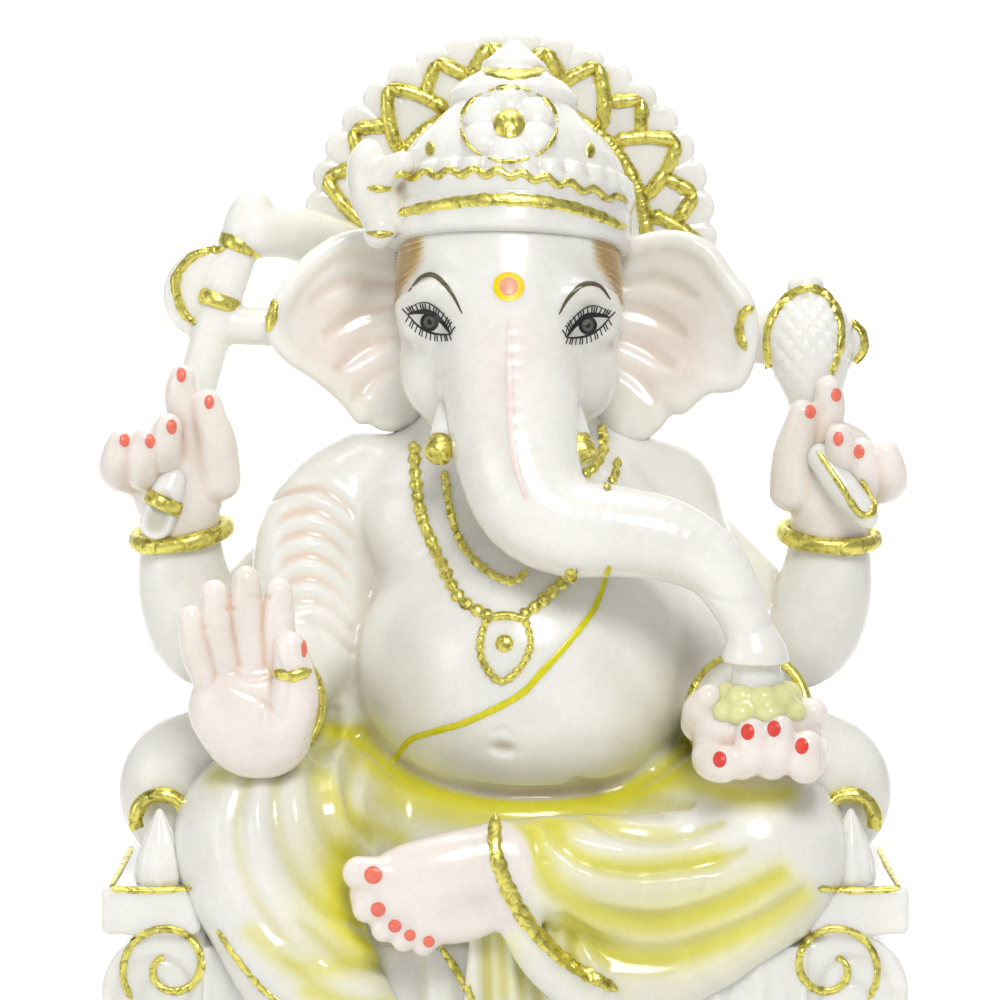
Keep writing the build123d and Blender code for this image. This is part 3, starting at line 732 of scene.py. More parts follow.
def halo():
    clay = Clay((-56, 30, 225), (58.5, 49, 308), 0.5)
    plate = sheet(halo_outline(), lambda x, z: HALO_FACE + 5.0, lambda x, z: 10.0, 1.8)
    clay.add(plate, 0.1)
    for k in range(SCALLOPS):
        a = 2 * math.pi * (k + 0.5) / SCALLOPS
        ca, sa = math.cos(a), math.sin(a)
        if HALO_Z + HALO_R * sa < HALO_FOOT + 1:
            continue
        inner, outer = HALO_R - 8.5, HALO_R + 1.0
        clay.cut(tube([(HALO_X + inner * ca, HALO_FACE - 0.1, HALO_Z + inner * sa, 0.35),
                       (HALO_X + outer * ca, HALO_FACE - 0.6, HALO_Z + outer * sa, 1.3)], 1), 0.9)
    cast("halo", clay, ["halo"])


def halo_bracket():
    clay = Clay((-26, 10, 224), (28, 42, 268), 0.9)
    clay.add(block((HALO_X, 33, 246), (20, 10, 17), 4), 0.1)
    cast("halo_bracket", clay, ["halo_bracket"])


# ---------------------------------------------------------------- body

# The cloth's furrows, as (line, width, depth), drawn from the front on the middle plane
FOLDS = [
    ([(11.5, 106), (15, 100), (22, 96), (34, 94), (48, 95.5), (60, 99)], 3.0, 2.2),
    ([(7, 103), (9, 96), (13, 89.5), (23, 82.5), (39, 80), (56, 85), (70, 93)], 3.2, 2.4),
    ([(15, 81.5), (27, 72.5), (40, 71), (52, 74.5), (66, 81), (75, 88)], 3.0, 2.0),
    ([(22, 107), (30, 104), (41, 103), (54, 106)], 2.4, 1.4),
    ([(18, 116), (32, 112), (46, 111)], 2.2, 1.0),
    ([(11, 97), (20, 89), (34, 87), (50, 89.5)], 2.2, 1.1),
    ([(-43, 134), (-46.5, 120), (-44, 105), (-36, 93)], 3.0, 2.2),
    ([(-51, 132), (-57.5, 117), (-56, 101), (-48, 88), (-36, 80)], 2.8, 1.8),
    ([(-36, 129), (-38.5, 118), (-37, 108), (-33, 101)], 2.4, 1.8),
    ([(-62, 124), (-68, 108), (-66, 92), (-58, 79), (-47, 71)], 2.6, 1.4),
    ([(-50, 80), (-38, 71.5), (-24, 69), (-13, 73)], 2.8, 2.0),
    ([(-55, 71), (-43, 62), (-28, 59), (-16, 62)], 2.8, 2.0),
    ([(-48, 58), (-38, 51), (-26, 48.5), (-15, 52)], 2.6, 1.8),
    ([(-42, 48), (-33, 41.5), (-23, 39), (-15, 42)], 2.4, 1.6),
    ([(-38, 39), (-31, 33.5), (-23, 31), (-16, 34)], 2.2, 1.4),
    ([(-38, 128), (-24, 117.5), (-8, 113.6), (12, 113.2), (34, 117), (47, 126)], 1.8, 0.9),
]

# The cloth's yellow, as (line, width, strength), drawn as the furrows are
AIRBRUSH = [
    ([(-48, 133.5), (-38, 126.5), (-28, 118), (-12, 111.8), (6, 110.0), (24, 111.6), (40, 117), (50, 126)],
     4.8, 1.0),
    ([(-30, 112), (-10, 107), (10, 106), (26, 108)], 4.0, 0.6),
    ([(-46, 118), (-41, 109), (-33, 104.5), (-27, 102)], 3.2, 0.7),
    ([(-41, 98), (-43, 87), (-38, 77.5), (-28, 71), (-19.5, 65)], 5.4, 0.92),
    ([(-73, 118), (-62.5, 121.5), (-52, 122.5)], 3.4, 0.6),
    ([(-64, 78), (-54, 69.5), (-43, 69), (-32, 73)], 2.8, 0.55),
    ([(-50, 63), (-38, 58), (-27, 60)], 2.8, 0.6),
    ([(-44, 52), (-34, 47.5), (-24, 49)], 2.8, 0.6),
    ([(-38, 42), (-30, 37.5), (-21, 39)], 2.6, 0.5),
    ([(12, 105), (15, 100), (22, 96), (34, 94.3), (53, 97)], 3.0, 0.75),
    ([(7, 103), (9, 96), (13, 89.5), (23, 82.8), (39, 80.5), (56, 85.5), (69, 92.5)], 4.0, 0.8),
    ([(16, 80), (27, 72.5), (40, 71.5), (52, 75), (66, 81), (75, 87)], 3.8, 0.72),
    ([(22, 107), (30, 104.3), (41, 103.3)], 1.9, 0.5),
    ([(46, 117), (54, 114), (63, 112.6), (71, 113.5)], 3.4, 0.8),
    ([(28, 114), (36, 123), (44, 127), (49, 120)], 2.6, 0.75),
    ([(-15.5, 78), (-3, 82), (-0.5, 64)], 5.0, 0.45),
]


BELLY_CENTRE = (5.5, -8, 147.5)
BELLY_RADII = (42.5, 41, 36)


def body_clay():
    clay = Clay((-98, -72, 17), (98, 49, 216), 0.8)
    # belly, chest, shoulders and sides
    for centre, radii, blend in (
            (BELLY_CENTRE, BELLY_RADII, 1), ((1, 10, 184), (45, 25, 26), 10),
            ((-17, -7, 184), (18, 13, 15), 6), ((22, -7, 183), (18, 13, 15), 6),
            ((-36, 11, 186), (15, 14, 14), 7), ((38, 11, 187), (15, 14, 14), 7),
            ((-37, 7, 170), (11, 12, 24), 5), ((-39, 4, 140), (14, 17, 26), 5),
            ((45, 4, 140), (13, 17, 26), 5)):
        clay.add(egg(centre, radii), blend)
    clay.add(tube([(1, 6, 196, 23), (1, 4, 212, 20)]), 6)
    navel = clay.seen_at(-0.8, 124.5)
    clay.cut(egg((navel[0], navel[1] - 0.3, navel[2]), (3.0, 2.2, 1.9)), 1.6)
    clay.furrow([(-3.6, 128), (-0.8, 129.6), (2.0, 128)], 0.8, 0.4, 0.8)
    # cloth round the hips and legs
    clay.add(egg((3, 4, 106), (53, 40, 29)), 1.2)
    clay.add(tube([(24, 8, 105, 19), (42, -14, 105, 21.6), (60, -34, 104.5, 21.8)]), 5)
    clay.add(egg((60.5, -38, 104), (23.0, 22, 22)), 6)
    clay.add(tube([(60, -42, 100, 15), (38, -47, 100, 15.8), (14, -52, 103, 13.5), (0, -54, 105, 10.5)]), 5)
    clay.add(tube([(-23, 9, 107, 19), (-41, -14, 107, 22.4), (-55, -34, 107, 22.2)]), 5)
    clay.add(egg((-56.5, -39, 107.5), (23.5, 23, 24.5)), 6)
    clay.add(tube([(-57, -44, 98, 18.5), (-47, -49, 78, 17), (-34, -51.5, 54, 14),
                   (-26, -51, 33, 11.5), (-25.5, -51, 26, 12.5)]), 4)
    # pleated end of the waist cloth between the legs
    def pleats(x, y, z):
        wave = 1.5 * np.cos((x - 4) * 0.62 + 0.02 * z) + 0.5 * np.cos(x * 1.5 + 0.05 * z)
        front = y + 55.5 + wave
        side = np.abs(x - 5 - (96 - z) * 0.06) - (13 + (96 - z) * 0.14)
        return np.maximum(np.maximum(-front, y + 44), np.maximum(side, np.maximum(z - 98, 30 - z)))
    clay.add((np.array([-20, -60, 29]), np.array([32, -43, 99]), pleats), 2.5)
    # cloth that falls from the folded leg over the seat's edge, with a rolled hem
    clay.add(egg((40, -48, 84), (33, 10, 15), (0, -25, 0)), 6)
    clay.add(tube([(0.5, -58, 110, 3.6), (1, -61.5, 99, 4.2), (4, -61.5, 90, 4.6), (9.5, -60, 81, 4.6),
                   (18, -58, 73.5, 4.2), (28, -55, 67.5, 3.4)], 4, 0.7), 3.5)
    for line, width, depth in FOLDS:
        clay.furrow(line, width, depth, 3.0)
    # shawl over the left shoulder
    clay.add(tube([(-36, 8, 194, 10), (-43, 5, 187, 12.5), (-48, 1, 176, 14.5),
                   (-49, -4, 162, 14), (-49, -8, 151, 13)]), 3)
    for k in range(7):
        z = 191 - 5.8 * k
        line = [(-58 + 0.4 * k, z - 3.0), (-54, z - 0.4), (-48, z + 0.4), (-42.5, z - 2.2), (-38.5, z - 6.5)]
        clay.furrow(line, 2.0, 1.3, 1.8)
    # arms
    for side in (-1, 1):
        clay.add(tube([
            (side * 38, 18, 184, 12), (side * 54, 17, 166, 13), (side * 67, 14, 153, 13.4),
            (side * 76, 10, 153, 13.2), (side * 80.5, 7.5, 164, 12.0), (side * 81.5, 6, 176, 10.2),
            (side * 81.5, 6, 186, 9.6),
        ]), 5)
    clay.add(tube([(-49, -1, 161, 12.5), (-56, -18, 143, 12.5), (-59.4, -33, 139.5, 12.8),
                   (-60, -42, 140.5, 11.6)]), 4)
    clay.add(tube([(39, 8, 186, 13.4), (47.5, 0, 168, 12.6), (54.5, -13, 150, 12.6), (57, -25, 141, 12.6),
                   (58.5, -42, 138.5, 12.4)]), 5)
    # foot of the folded leg
    clay.add(tube([(-2, -57, 106, 9.6), (-12, -59, 104, 9.8), (-22, -59.5, 101, 10.0), (-29, -59.5, 99, 8.0)],
                  4, 0.75), 2.5)
    clay.add(tube([(-23, -61, 98, 6), (-17, -61.5, 93, 5.4), (-8, -60, 93, 5.0), (2, -58, 97, 4)], 4, 0.8), 3)
    toes = [((-26, 104), (-34.5, 104.3), 4.4), ((-26, 98), (-33.0, 95.7), 3.5),
            ((-23, 94.5), (-28.8, 90.8), 3.3), ((-19, 92.5), (-24.2, 88.3), 3.1),
            ((-14.5, 92), (-19.4, 87.0), 2.9)]
    for (ax, az), (bx, bz), r in toes:
        middle = ((ax + bx) / 2, -62, (az + bz) / 2, r * 0.94)
        clay.add(tube([(ax, -61, az, r), middle, (bx, -61.6, bz, r * 0.93)], 3), 0.9)
    # foot of the hanging leg
    clay.add(tube([(-25, -46, 27, 9.5), (-25.5, -53, 25, 9.2), (-27, -60, 22.5, 7.2)], 4), 3)
    for k in range(5):
        x = -21.8 - 3.7 * k
        r = 3.3 if k == 0 else 2.6
        clay.add(tube([(x, -58, 21.5, r), (x - 0.5, -63.5 + 0.9 * k, 19.6, r * 0.92)], 3), 0.8)
    return clay


def paint_body(at, normal, hollow, colours):
    y, z = at[:, 1], at[:, 2]
    front = ramp(-normal[:, 1], -0.25, 0.4) * (y < 2)
    belly = (((at - np.array(BELLY_CENTRE)) / np.array(BELLY_RADII)) ** 2).sum(1)
    cloth = ramp(belly, 1.03, 1.10) * ramp(-z, -135, -131)
    cloth *= 1 - near(at, (-62, -30, 142), (20, 30, 15))
    instep = ramp(soft_line(at, [(-7, 94.5), (-17, 93), (-27, 90.5)], 12), 0.20, 0.33)
    sole = ramp(soft_line(at, [(-33, 91), (-27, 84), (-18, 80), (-6, 85)], 9), 0.20, 0.33)
    foot = np.maximum(instep, sole) * ramp(-y, 57, 59)
    tone = np.zeros(len(at))
    for line, width, amount in AIRBRUSH:
        tone = 1 - (1 - tone) * (1 - amount * soft_line(at, line, width))
    tone = np.clip(tone, 0, 0.97) * front * cloth * (1 - foot)
    colours = mix(colours, YELLOW, 0.5 * ramp(hollow, -0.05, 0.6) * cloth * front * (1 - foot))
    colours = mix(colours, YELLOW, tone)
    haze = near(at, (-42, -50, 96), (18, 34, 46)) + near(at, (38, -50, 92), (46, 34, 26))
    colours = mix(colours, YELLOW, 0.30 * np.clip(haze, 0, 1) * front * cloth * (1 - foot))
    colours = mix(colours, OLIVE, 0.35 * tone * ramp(hollow, 0.3, 1.2))
    skin = ramp(hollow, 0.15, 0.8) * (1 - cloth)
    colours = mix(colours, PEACH, 0.30 * skin)
    shawl = near(at, (-50, -4, 176), (16, 26, 30)) * (z > 146)
    colours = mix(colours, PEACH, 0.55 * shawl * ramp(hollow, 0.02, 0.35))
    return mix(colours, PINK, 0.30 * foot)


# ---------------------------------------------------------------- head

TRUNK = [
    (0.7, -14, 238, 17.5), (0.9, -22, 227, 17.8), (1.6, -31, 214, 16.2), (2.8, -39, 202, 15.0),
    (6.5, -45, 191, 13.6), (15, -49, 185.5, 12.0), (27, -52, 184.5, 10.8), (39, -54, 182.5, 9.8),
    (49, -55.5, 177, 7.9), (55, -56, 168, 6.4), (57.6, -56, 161, 5.7), (58.8, -56, 157.6, 6.8),
    (59.2, -56, 153.6, 8.4),
]


def head_clay():
    clay = Clay((-34, -68, 146), (70, 36, 274), 0.65)
    # skull, brow, cheeks and chin
    for centre, radii, blend in (
            ((1, 2, 238), (28.6, 30, 34), 1), ((1, -10, 247), (25, 19, 22), 8),
            ((-15.5, -13, 221), (10.3, 12, 13), 6), ((18.0, -13, 221), (10.3, 12, 13), 6),
            ((1, -4, 206), (19, 18, 14), 7)):
        clay.add(egg(centre, radii), blend)
    clay.add(tube(TRUNK, 4), 7)
    for side, x in ((-1, -17.8), (1, 20.2)):
        clay.add(egg((x, -22.5, 231.8), (7.4, 5.0, 5.0)), 3.0)
        lid = [(x - side * 7, -27, 238.5, 2.6), (x, -27.5, 240.5, 2.8), (x + side * 6.5, -21, 237, 2.4)]
        clay.add(tube(lid), 5)
    # the flared lip is cut off flat, and a neck goes down from it to the sweets
    clay.cut(block((59.3, -56, 144.8), (13, 13, 9.0), 0.5), 1.0)
    clay.add(tube([(59.3, -55.8, 156, 5.4), (59.6, -55.3, 149, 6.2)]), 0.8)
    clay.furrow([(52, 162.5), (58, 161.5), (64, 163.5)], 0.8, 0.35, 0.8)
    return clay


def paint_head(at, normal, hollow, colours):
    temple = np.abs(at[:, 0] - 0.8)
    edge = 28.4 - 7.5 * ramp(at[:, 2], 234, 250)
    hair = ramp(temple, edge - 1.4, edge + 1.8) * ramp(at[:, 2], 231, 240) * ramp(-at[:, 1], -16, -5)
    strands = 0.5 + 0.5 * np.sin(at[:, 2] * 4.4 + temple * 1.4 + 1.2 * np.sin(at[:, 2] * 0.9))
    colours = mix(colours, TAN * 1.35, 0.92 * hair)
    colours = mix(colours, TAN * 0.9, 0.6 * hair * strands)
    for white, socket_shade in (([(-14.9, 229.8), (-22.4, 233.2)], [(-23.5, 236), (-18.5, 238.6), (-13.5, 235.5)]),
                          ([(16.7, 229.0), (24.2, 232.4)], [(25, 235), (20.2, 237.8), (15.4, 234.5)])):
        colours = mix(colours, EYE_WHITE, 0.75 * soft_line(at, white, 1.7))
        # painted shade in each eye socket, between the brow and the lid
        colours = mix(colours, SHADE, 0.22 * soft_line(at, socket_shade, 2.6))
    colours = mix(colours, PINK, 0.22 * near(at, (1, -35, 215), (14, 30, 34)))
    colours = mix(colours, PEACH, 0.4 * ramp(hollow, 0.25, 0.9))
    return colours


def ear_piece(side, name):
    if side < 0:
        outline = [(-18, 249), (-30, 253.5), (-40, 252), (-48.5, 246.5), (-54.5, 239), (-57.5, 231),
                   (-54, 224.5), (-47, 219.5), (-40.5, 214), (-36, 208.5), (-31.5, 204.5), (-25, 205),
                   (-20, 212)]
    else:
        outline = [(20, 249), (31, 250.5), (41, 252.5), (49.5, 250), (55, 243), (60, 236), (60.5, 226),
                   (57.5, 217.5), (50, 216), (44, 211), (38, 204), (32, 200.5), (26, 202), (20, 210)]
    clay = Clay((-62 if side < 0 else 14, -12, 197), (-14 if side < 0 else 65, 22, 257), 0.55)
    points = curve(outline + outline[:1], 6)[:-1]

    def middle(x, z):
        out = np.clip((np.abs(x) - 20) / 38, 0, 1.2)
        bulge = np.exp(-(((np.abs(x) - 36) / 12) ** 2 + ((z - 232) / 15) ** 2))
        return 9.0 - 7.5 * out ** 1.5 + 3.0 * bulge

    clay.add(sheet(points, middle, lambda x, z: 7.0 + 0 * x, 2.6), 0.5)
    # rolled rim and the creases of the inner ear
    rim = [(px, middle(np.array(px), np.array(pz)) - 2.4, pz, 2.4) for px, pz in outline[1:10]]
    clay.add(tube(rim, 4), 2.5)
    for line in ([(26, 236), (36, 234), (44, 229)], [(26, 229), (34, 226), (41, 221)],
                 [(27, 222), (33, 218), (37, 213)], [(27, 241), (38, 242), (47, 238)]):
        clay.furrow([(side * px, pz) for px, pz in line], 1.8, 0.9, 2.2)

    def paintwork(at, normal, hollow_, colours):
        inner = near(at, (side * 38, -2, 228), (20, 20, 22)) * ramp(-normal[:, 1], 0.1, 0.7)
        colours = mix(colours, PINK, 0.36 * inner)
        return mix(colours, PEACH, 0.32 * ramp(hollow_, 0.1, 0.6) * ramp(-normal[:, 1], 0, 0.5))

    cast(f"ear_{name}", clay, [f"ear_{name}"], paintwork)


def tusks():
    for name, x0, x1 in (("left", -11.5, -15.4), ("right", 13.5, 17.8)):
        clay = Clay((min(x0, x1) - 7, -46, 190), (max(x0, x1) + 7, -20, 216), 0.4)
        clay.add(tube([(x0, -23, 214, 4.6), ((x0 + x1) / 2, -30, 208, 4.2), (x1, -35.2, 203, 3.5)]), 0.5)
        cast(f"tusk_{name}", clay, [f"tusk_{name}"])


def tusk_caps():
    vertices, faces = [], []
    for x0, x1 in ((-14.8, -16.8), (17.2, 19.4)):
        start, end = Vector((x0, -34.2, 204.8)), Vector((x1, -37.8, 200.8))
        along = (end - start).normalized()
        side = along.cross(Vector((0, 0, 1))).normalized()
        up = side.cross(along)
        profile = [(0, 3.1), (0.06, 3.5), (0.5, 3.5), (0.85, 3.3), (0.97, 2.7), (1.02, 1.5), (1.03, 0.05)]
        base = len(vertices)
        for t, r in profile:
            for k in range(24):
                a = 2 * math.pi * k / 24
                wave = 1 + 0.03 * math.sin(3 * a + 9 * t)
                out = side * math.cos(a) + up * math.sin(a)
                vertices.append(tuple(start.lerp(end, t) + out * r * wave))
        faces.extend(skin(base, len(profile), 24, around=True, flipped=True))
    finish_piece("tusk_caps", vertices, faces, GOLD, ["tusk_caps"])


# ---------------------------------------------------------------- crown

CROWN_BASE = (1.0, -2.0, 250.0)
CROWN_LEAN = (-12.0, 1.5, 0.0)


def crown_clay():
    clay = Clay((-44, -42, 244), (38, 36, 304.5), 0.5)

    def turn_on(profile, blend, ripple=None):
        clay.add(lathe(profile, CROWN_BASE, CROWN_LEAN, ripple), blend)

    def fringe(angle, height):
        lobes = np.abs(np.sin(angle * 14))
        return (-1.5 * (1 - lobes) * np.clip((height - 12.6) / 2, 0, 1)).astype(np.float32)

    def gores(angle, height):
        return (0.55 * np.abs(np.sin(angle * 5)) ** 0.7 - 0.3).astype(np.float32)

    turn_on([(-0.5, 27.5), (0, 29.6), (1.2, 30.4), (8.5, 30.2), (10, 29.4)], 0.3)
    turn_on([(8.5, 28.0), (9.5, 30.2), (13, 31.2), (17, 30.6), (18.5, 28)], 0.6, fringe)
    turn_on([(14, 29.0), (18, 28.4), (22, 27.2), (27, 23.8), (32, 18.6), (35.5, 15.4), (36.5, 14.8)],
            0.8, gores)
    turn_on([(34.5, 14.6), (36.5, 16.2), (38.5, 16.2), (41.5, 13.6), (44, 9.6), (45, 8.2)], 0.8)
    turn_on([(44, 7.6), (45.5, 8.2), (47.0, 8.0), (48, 6.6), (50, 4.6), (52, 2.4), (53.2, 0.6)], 0.6)
    # rosette: petals round a boss, on the front of the dome
    centre = clay.seen_at(1.0, 280.5)
    tilt = math.radians(38)
    for k in range(6):
        a = math.radians(90 + 60 * k)
        px, pz = 7.6 * math.cos(a), 7.6 * math.sin(a)
        spot = centre + np.array([px, 1.0 + pz * math.sin(tilt), pz * math.cos(tilt)])
        clay.add(egg(spot, (4.9, 3.0, 4.9), (-38, 0, 0)), 0.7)
    clay.add(egg((centre[0], centre[1] + 0.2, centre[2]), (4.8, 3.0, 4.8), (-38, 0, 0)), 0.5)
    # the curled leaf at the band's left end
    clay.add(tube([(-30, -14, 258, 5.2), (-32.5, -14, 265, 6.0), (-33.5, -13, 270.5, 5.2),
                   (-33.4, -12.5, 274, 3.4)]), 2)
    clay.add(tube([(-33, -14, 267, 4.5), (-29, -17, 269, 4.0), (-25, -19, 271.5, 3.0)]), 1.5)
    for x, z in ((-31, 265), (-30.8, 254)):
        clay.add(egg((x, -17, z), (3.8, 3.6, 3.4)), 1.2)
    clay.cut(egg((1, 2, 240), (26, 27, 31)), 0.5)
    return clay


def paint_crown(at, normal, hollow, colours):
    return mix(colours, PEACH, 0.28 * ramp(hollow, 0.2, 0.7))


# ---------------------------------------------------------------- hands and what they hold

def rear_hand(side, name):
    clay = Clay((min(side * 66, side * 102), -19, 176), (max(side * 66, side * 102), 16, 225), 0.42)
    clay.add(egg((side * 82, 1.5, 193.5), (12.4, 8.8, 14), (0, side * 6, 0)), 0.5)
    clay.add(tube([(side * 81.5, 5, 178, 9.7), (side * 81.5, 4, 186, 9.9)]), 3)
    dx, dz = (0, 0) if side < 0 else (-0.8, -2.6)
    for k, (x, z) in enumerate(((95.0, 202.2), (89.0, 202.6), (83.2, 206.0))):
        x, z = x + dx, z + dz
        r = 4.0 + 0.15 * k
        clay.add(tube([(side * (x - 2.5), 2, z - 10, r), (side * (x + 1.2), -5, z - 7.5, r + 0.4),
                       (side * (x + 1.0), -10.0, z - 3.4, r), (side * x, -10.8, z + 0.6, r * 0.80)], 5), 0.8)
    pointing = [(77, -1, 200, 5.2), (79.5, -4, 209, 4.5), (80.4, -5.5, 214.5, 4.0), (80.0, -6, 218.6, 3.2)]
    thumb = [(71.5, -1, 193, 5.8), (71.5, -5, 202, 5.0), (73, -6.5, 208.5, 4.2), (73.6, -7, 212.4, 3.4)]
    for finger, blend in ((pointing, 1.0), (thumb, 1.2)):
        clay.add(tube([(side * x, y, z + dz, r) for x, y, z, r in finger], 5), blend)
    cast(f"hand_rear_{name}", clay, [f"hand_rear_{name}"], paint_hand)


def paint_hand(at, normal, hollow, colours):
    colours = mix(colours, PINK, 0.30)
    return mix(colours, PEACH, 0.55 * ramp(hollow, 0.15, 0.7))


def open_hand():
    clay = Clay((-80, -70, 126), (-42, -42, 180), 0.42)
    clay.add(egg((-60.5, -54, 142.5), (14.8, 7.4, 13)), 0.5)
    clay.add(egg((-58.5, -53, 134), (11.5, 8.5, 8.5)), 4)
    fingers = [((-70.2, 148), (-73.0, 157), (-74.2, 164.6), 3.7),
               ((-65.4, 150), (-67.9, 162), (-68.8, 170.4), 4.0),
               ((-59.6, 151), (-61.0, 165), (-61.2, 173.6), 4.1),
               ((-53.4, 150), (-53.6, 162), (-53.4, 170.8), 4.0)]
    for (ax, az), (bx, bz), (cx, cz), r in fingers:
        clay.add(tube([(ax, -54.5, az, r), (bx, -57, bz, r), (cx, -57.6, cz, r * 0.82)], 6), 0.4)
    clay.add(tube([(-53, -56, 136, 7.0), (-49.8, -60, 145, 5.8), (-49.8, -61.5, 152, 4.9),
                   (-50.6, -61.5, 158, 3.9)], 5), 1.6)
    for line in ([(-71, 146), (-64, 142.5), (-58, 143.5)], [(-68, 140), (-62, 137.5), (-57, 133)],
                 [(-57, 147), (-55, 140), (-57, 132)]):
        clay.furrow(line, 0.8, 0.4, 0.9)
    for _, (bx, bz), _, _ in fingers:
        clay.furrow([(bx - 2.5, bz - 1.6), (bx + 0.4, bz - 2.0), (bx + 3.2, bz - 1.6)], 0.6, 0.28, 0.7)
    cast("hand_open", clay, ["hand_open"], paint_hand)


def offering_hand():
    clay = Clay((40, -70, 122), (82, -34, 156), 0.42)
    clay.add(egg((60, -51, 137.5), (15.5, 12.5, 9.6)), 0.5)
    clay.add(tube([(60, -40, 137, 9.6), (60, -48, 137, 9.6)]), 3)
    tips = [(51.6, 131.0, 47.5), (58.0, 137.6, 53.8), (64.4, 138.4, 61.5), (71.0, 134.6, 70.0)]
    for x, z, root in tips:
        clay.add(tube([(root + 2, -52, 132, 5.0), (root + 1.5, -59.5, 131, 4.8),
                       (x - 0.4, -63.4, max(z - 4.6, 130.6), 4.4), (x, -64.0, z + 0.6, 3.6)], 5), 1.6)
    clay.add(tube([(67, -46, 138.5, 5.2), (70.5, -52, 140.5, 4.4), (73.0, -55.5, 141.6, 3.6)], 5), 1.2)
    clay.add(tube([(47, -46, 138, 5.0), (46.6, -52, 142, 4.2), (48.2, -56, 145.4, 3.2)], 5), 1.2)
    cast("hand_offering", clay, ["hand_offering"], paint_hand)


def sweet_pile():
    clay = Clay((44, -68, 136), (76, -40, 158), 0.42)
    rng = random.Random(5)
    clay.add(egg((60, -54.5, 143), (10, 9.4, 7)), 0.5)
    for height, reach, count in ((0, 8.6, 9), (3.6, 6.8, 8)):
        for k in range(count):
            a = 2 * math.pi * (k + 0.3 * rng.random()) / count
            spot = (60 + reach * math.cos(a), -54.5 + reach * 0.9 * math.sin(a), 142.4 + height)
            clay.add(egg(spot, (3.6, 3.6, 3.1)), 1.0)

    def paintwork(at, normal, hollow, colours):
        colours = mix(colours, SWEET, 0.8)
        return mix(colours, YELLOW, 0.7 * ramp(hollow, 0.0, 0.6))

    cast("sweets", clay, ["sweets"], paintwork)


def axe():
    clay = Clay((-96, -10, 178), (-36, 44, 272), 0.5)
    clay.add(tube([(-79.5, 2, 206, 4.8), (-76, 6, 220, 5.0), (-71.5, 9, 236, 5.0), (-67.5, 11, 249, 5.2),
                   (-64.5, 12, 258, 5.4), (-63, 12, 261, 4.2)]), 0.3)
    blade = [(-71, 248.5), (-77, 250.5), (-82, 247.5), (-85.5, 241), (-85, 234), (-81, 229), (-75.5, 226.5)]
    plate = [(-69, 246)] + curve(blade, 4) + [(-73, 230)]
    clay.add(sheet(plate, lambda x, z: 9.5, lambda x, z: 4.6 + 0 * x, 1.4), 1.2)
    web_to_halo = [(-63, 12, 254.5, 7.0), (-56, 18, 254, 6.8), (-49, 27, 252, 7.2), (-42, 37, 249, 7.8)]
    web_to_ear = [(-73, 9, 231, 5.0), (-66, 9, 230.8, 5.0), (-58, 9, 230.5, 5.0), (-53, 10, 230.5, 4.2)]
    clay.add(tube(web_to_halo), 1.5)
    clay.add(tube(web_to_ear), 1.5)
    clay.add(tube([(-82.5, -5, 193, 4.0), (-84.5, -6.5, 188, 4.3), (-86.5, -7.5, 182.6, 4.3)]), 0.5)
    cast("axe", clay, ["axe_shaft", "axe_blade", "axe_strut", "ear_strut_left", "axe_pommel"])


def club():
    clay = Clay((48, -16, 178), (96, 24, 249), 0.5)

    def scales(x, y, z):
        u, v = (x - 76.5) * 0.9 + (z - 226) * 0.75, (z - 226) * 0.75 - (x - 76.5) * 0.9
        d = egg((76.5, 5, 226), (10.6, 9.2, 14.0))[2](x, y, z)
        cell = np.abs(np.sin(u * 0.82)) * np.abs(np.sin(v * 0.82))
        return d + 0.35 - 0.75 * np.sqrt(cell)

    clay.add((np.array([65, -5, 211]), np.array([88, 15, 241]), scales), 0.3)
    clay.add(tube([(78.5, 3, 206, 5.4), (77.5, 4, 214, 7.2), (76.5, 5, 220, 8.6)]), 1.5)
    clay.add(egg((75.2, 5.5, 240.5), (4.7, 4.4, 3.9)), 0.8)
    clay.add(egg((86.6, 9, 226.5), (5.0, 4.0, 5.4)), 0.6)
    clay.add(tube([(55.5, 9.5, 229, 6.6), (61, 8.5, 229, 7.6), (69, 7, 229, 8.6)], 4, 0.8), 2)
    clay.add(tube([(78, -8, 199, 3.4), (84, -11.0, 191, 4.0), (89.4, -11.6, 184.4, 3.0)]), 0.5)
    cast("club", clay, ["club_head", "ear_strut_right", "club_knob", "club_grip"])


# ---------------------------------------------------------------- painted and gilded lines

def halo_point(angle, radius):
    a = math.radians(angle)
    return (HALO_X + radius * math.cos(a), HALO_Z + radius * math.sin(a))


def flat_ridge(name, lines, width, height, nodes):
    """Raised gilded ridges on the halo's flat front, each with rounded ends."""
    vertices, faces = [], []
    rng = random.Random(7)
    for line in lines:
        path = curve(line, 8)
        across = 8
        rows = []
        total = sum(math.dist(a, b) for a, b in zip(path[:-1], path[1:]))
        done = 0.0
        for i, p in enumerate(path):
            q, r = path[max(i - 1, 0)], path[min(i + 1, len(path) - 1)]
            size = max(math.dist(q, r), 1e-6)
            side = (-(r[1] - q[1]) / size, (r[0] - q[0]) / size)
            if i:
                done += math.dist(path[i - 1], p)
            edge = min(1.0, (min(done, total - done) + 0.1) / (width * 0.5))
            wide = width * math.sqrt(edge) * (1 + 0.10 * rng.uniform(-1, 1))
            tall = height * (0.4 + 0.6 * math.sqrt(edge)) * (1 + 0.12 * rng.uniform(-1, 1))
            row = []
            for j in range(across + 1):
                u = 2 * j / across - 1
                lift = tall * math.sqrt(max(0, 1 - u * u)) - 0.15
                row.append((p[0] + side[0] * wide * u / 2, HALO_FACE - lift, p[1] + side[1] * wide * u / 2))
            rows.append(row)
        start = len(vertices)
        for row in rows:
            vertices.extend(row)
        faces.extend(skin(start, len(rows), across + 1))
    finish_piece(name, vertices, faces, GOLD, nodes)


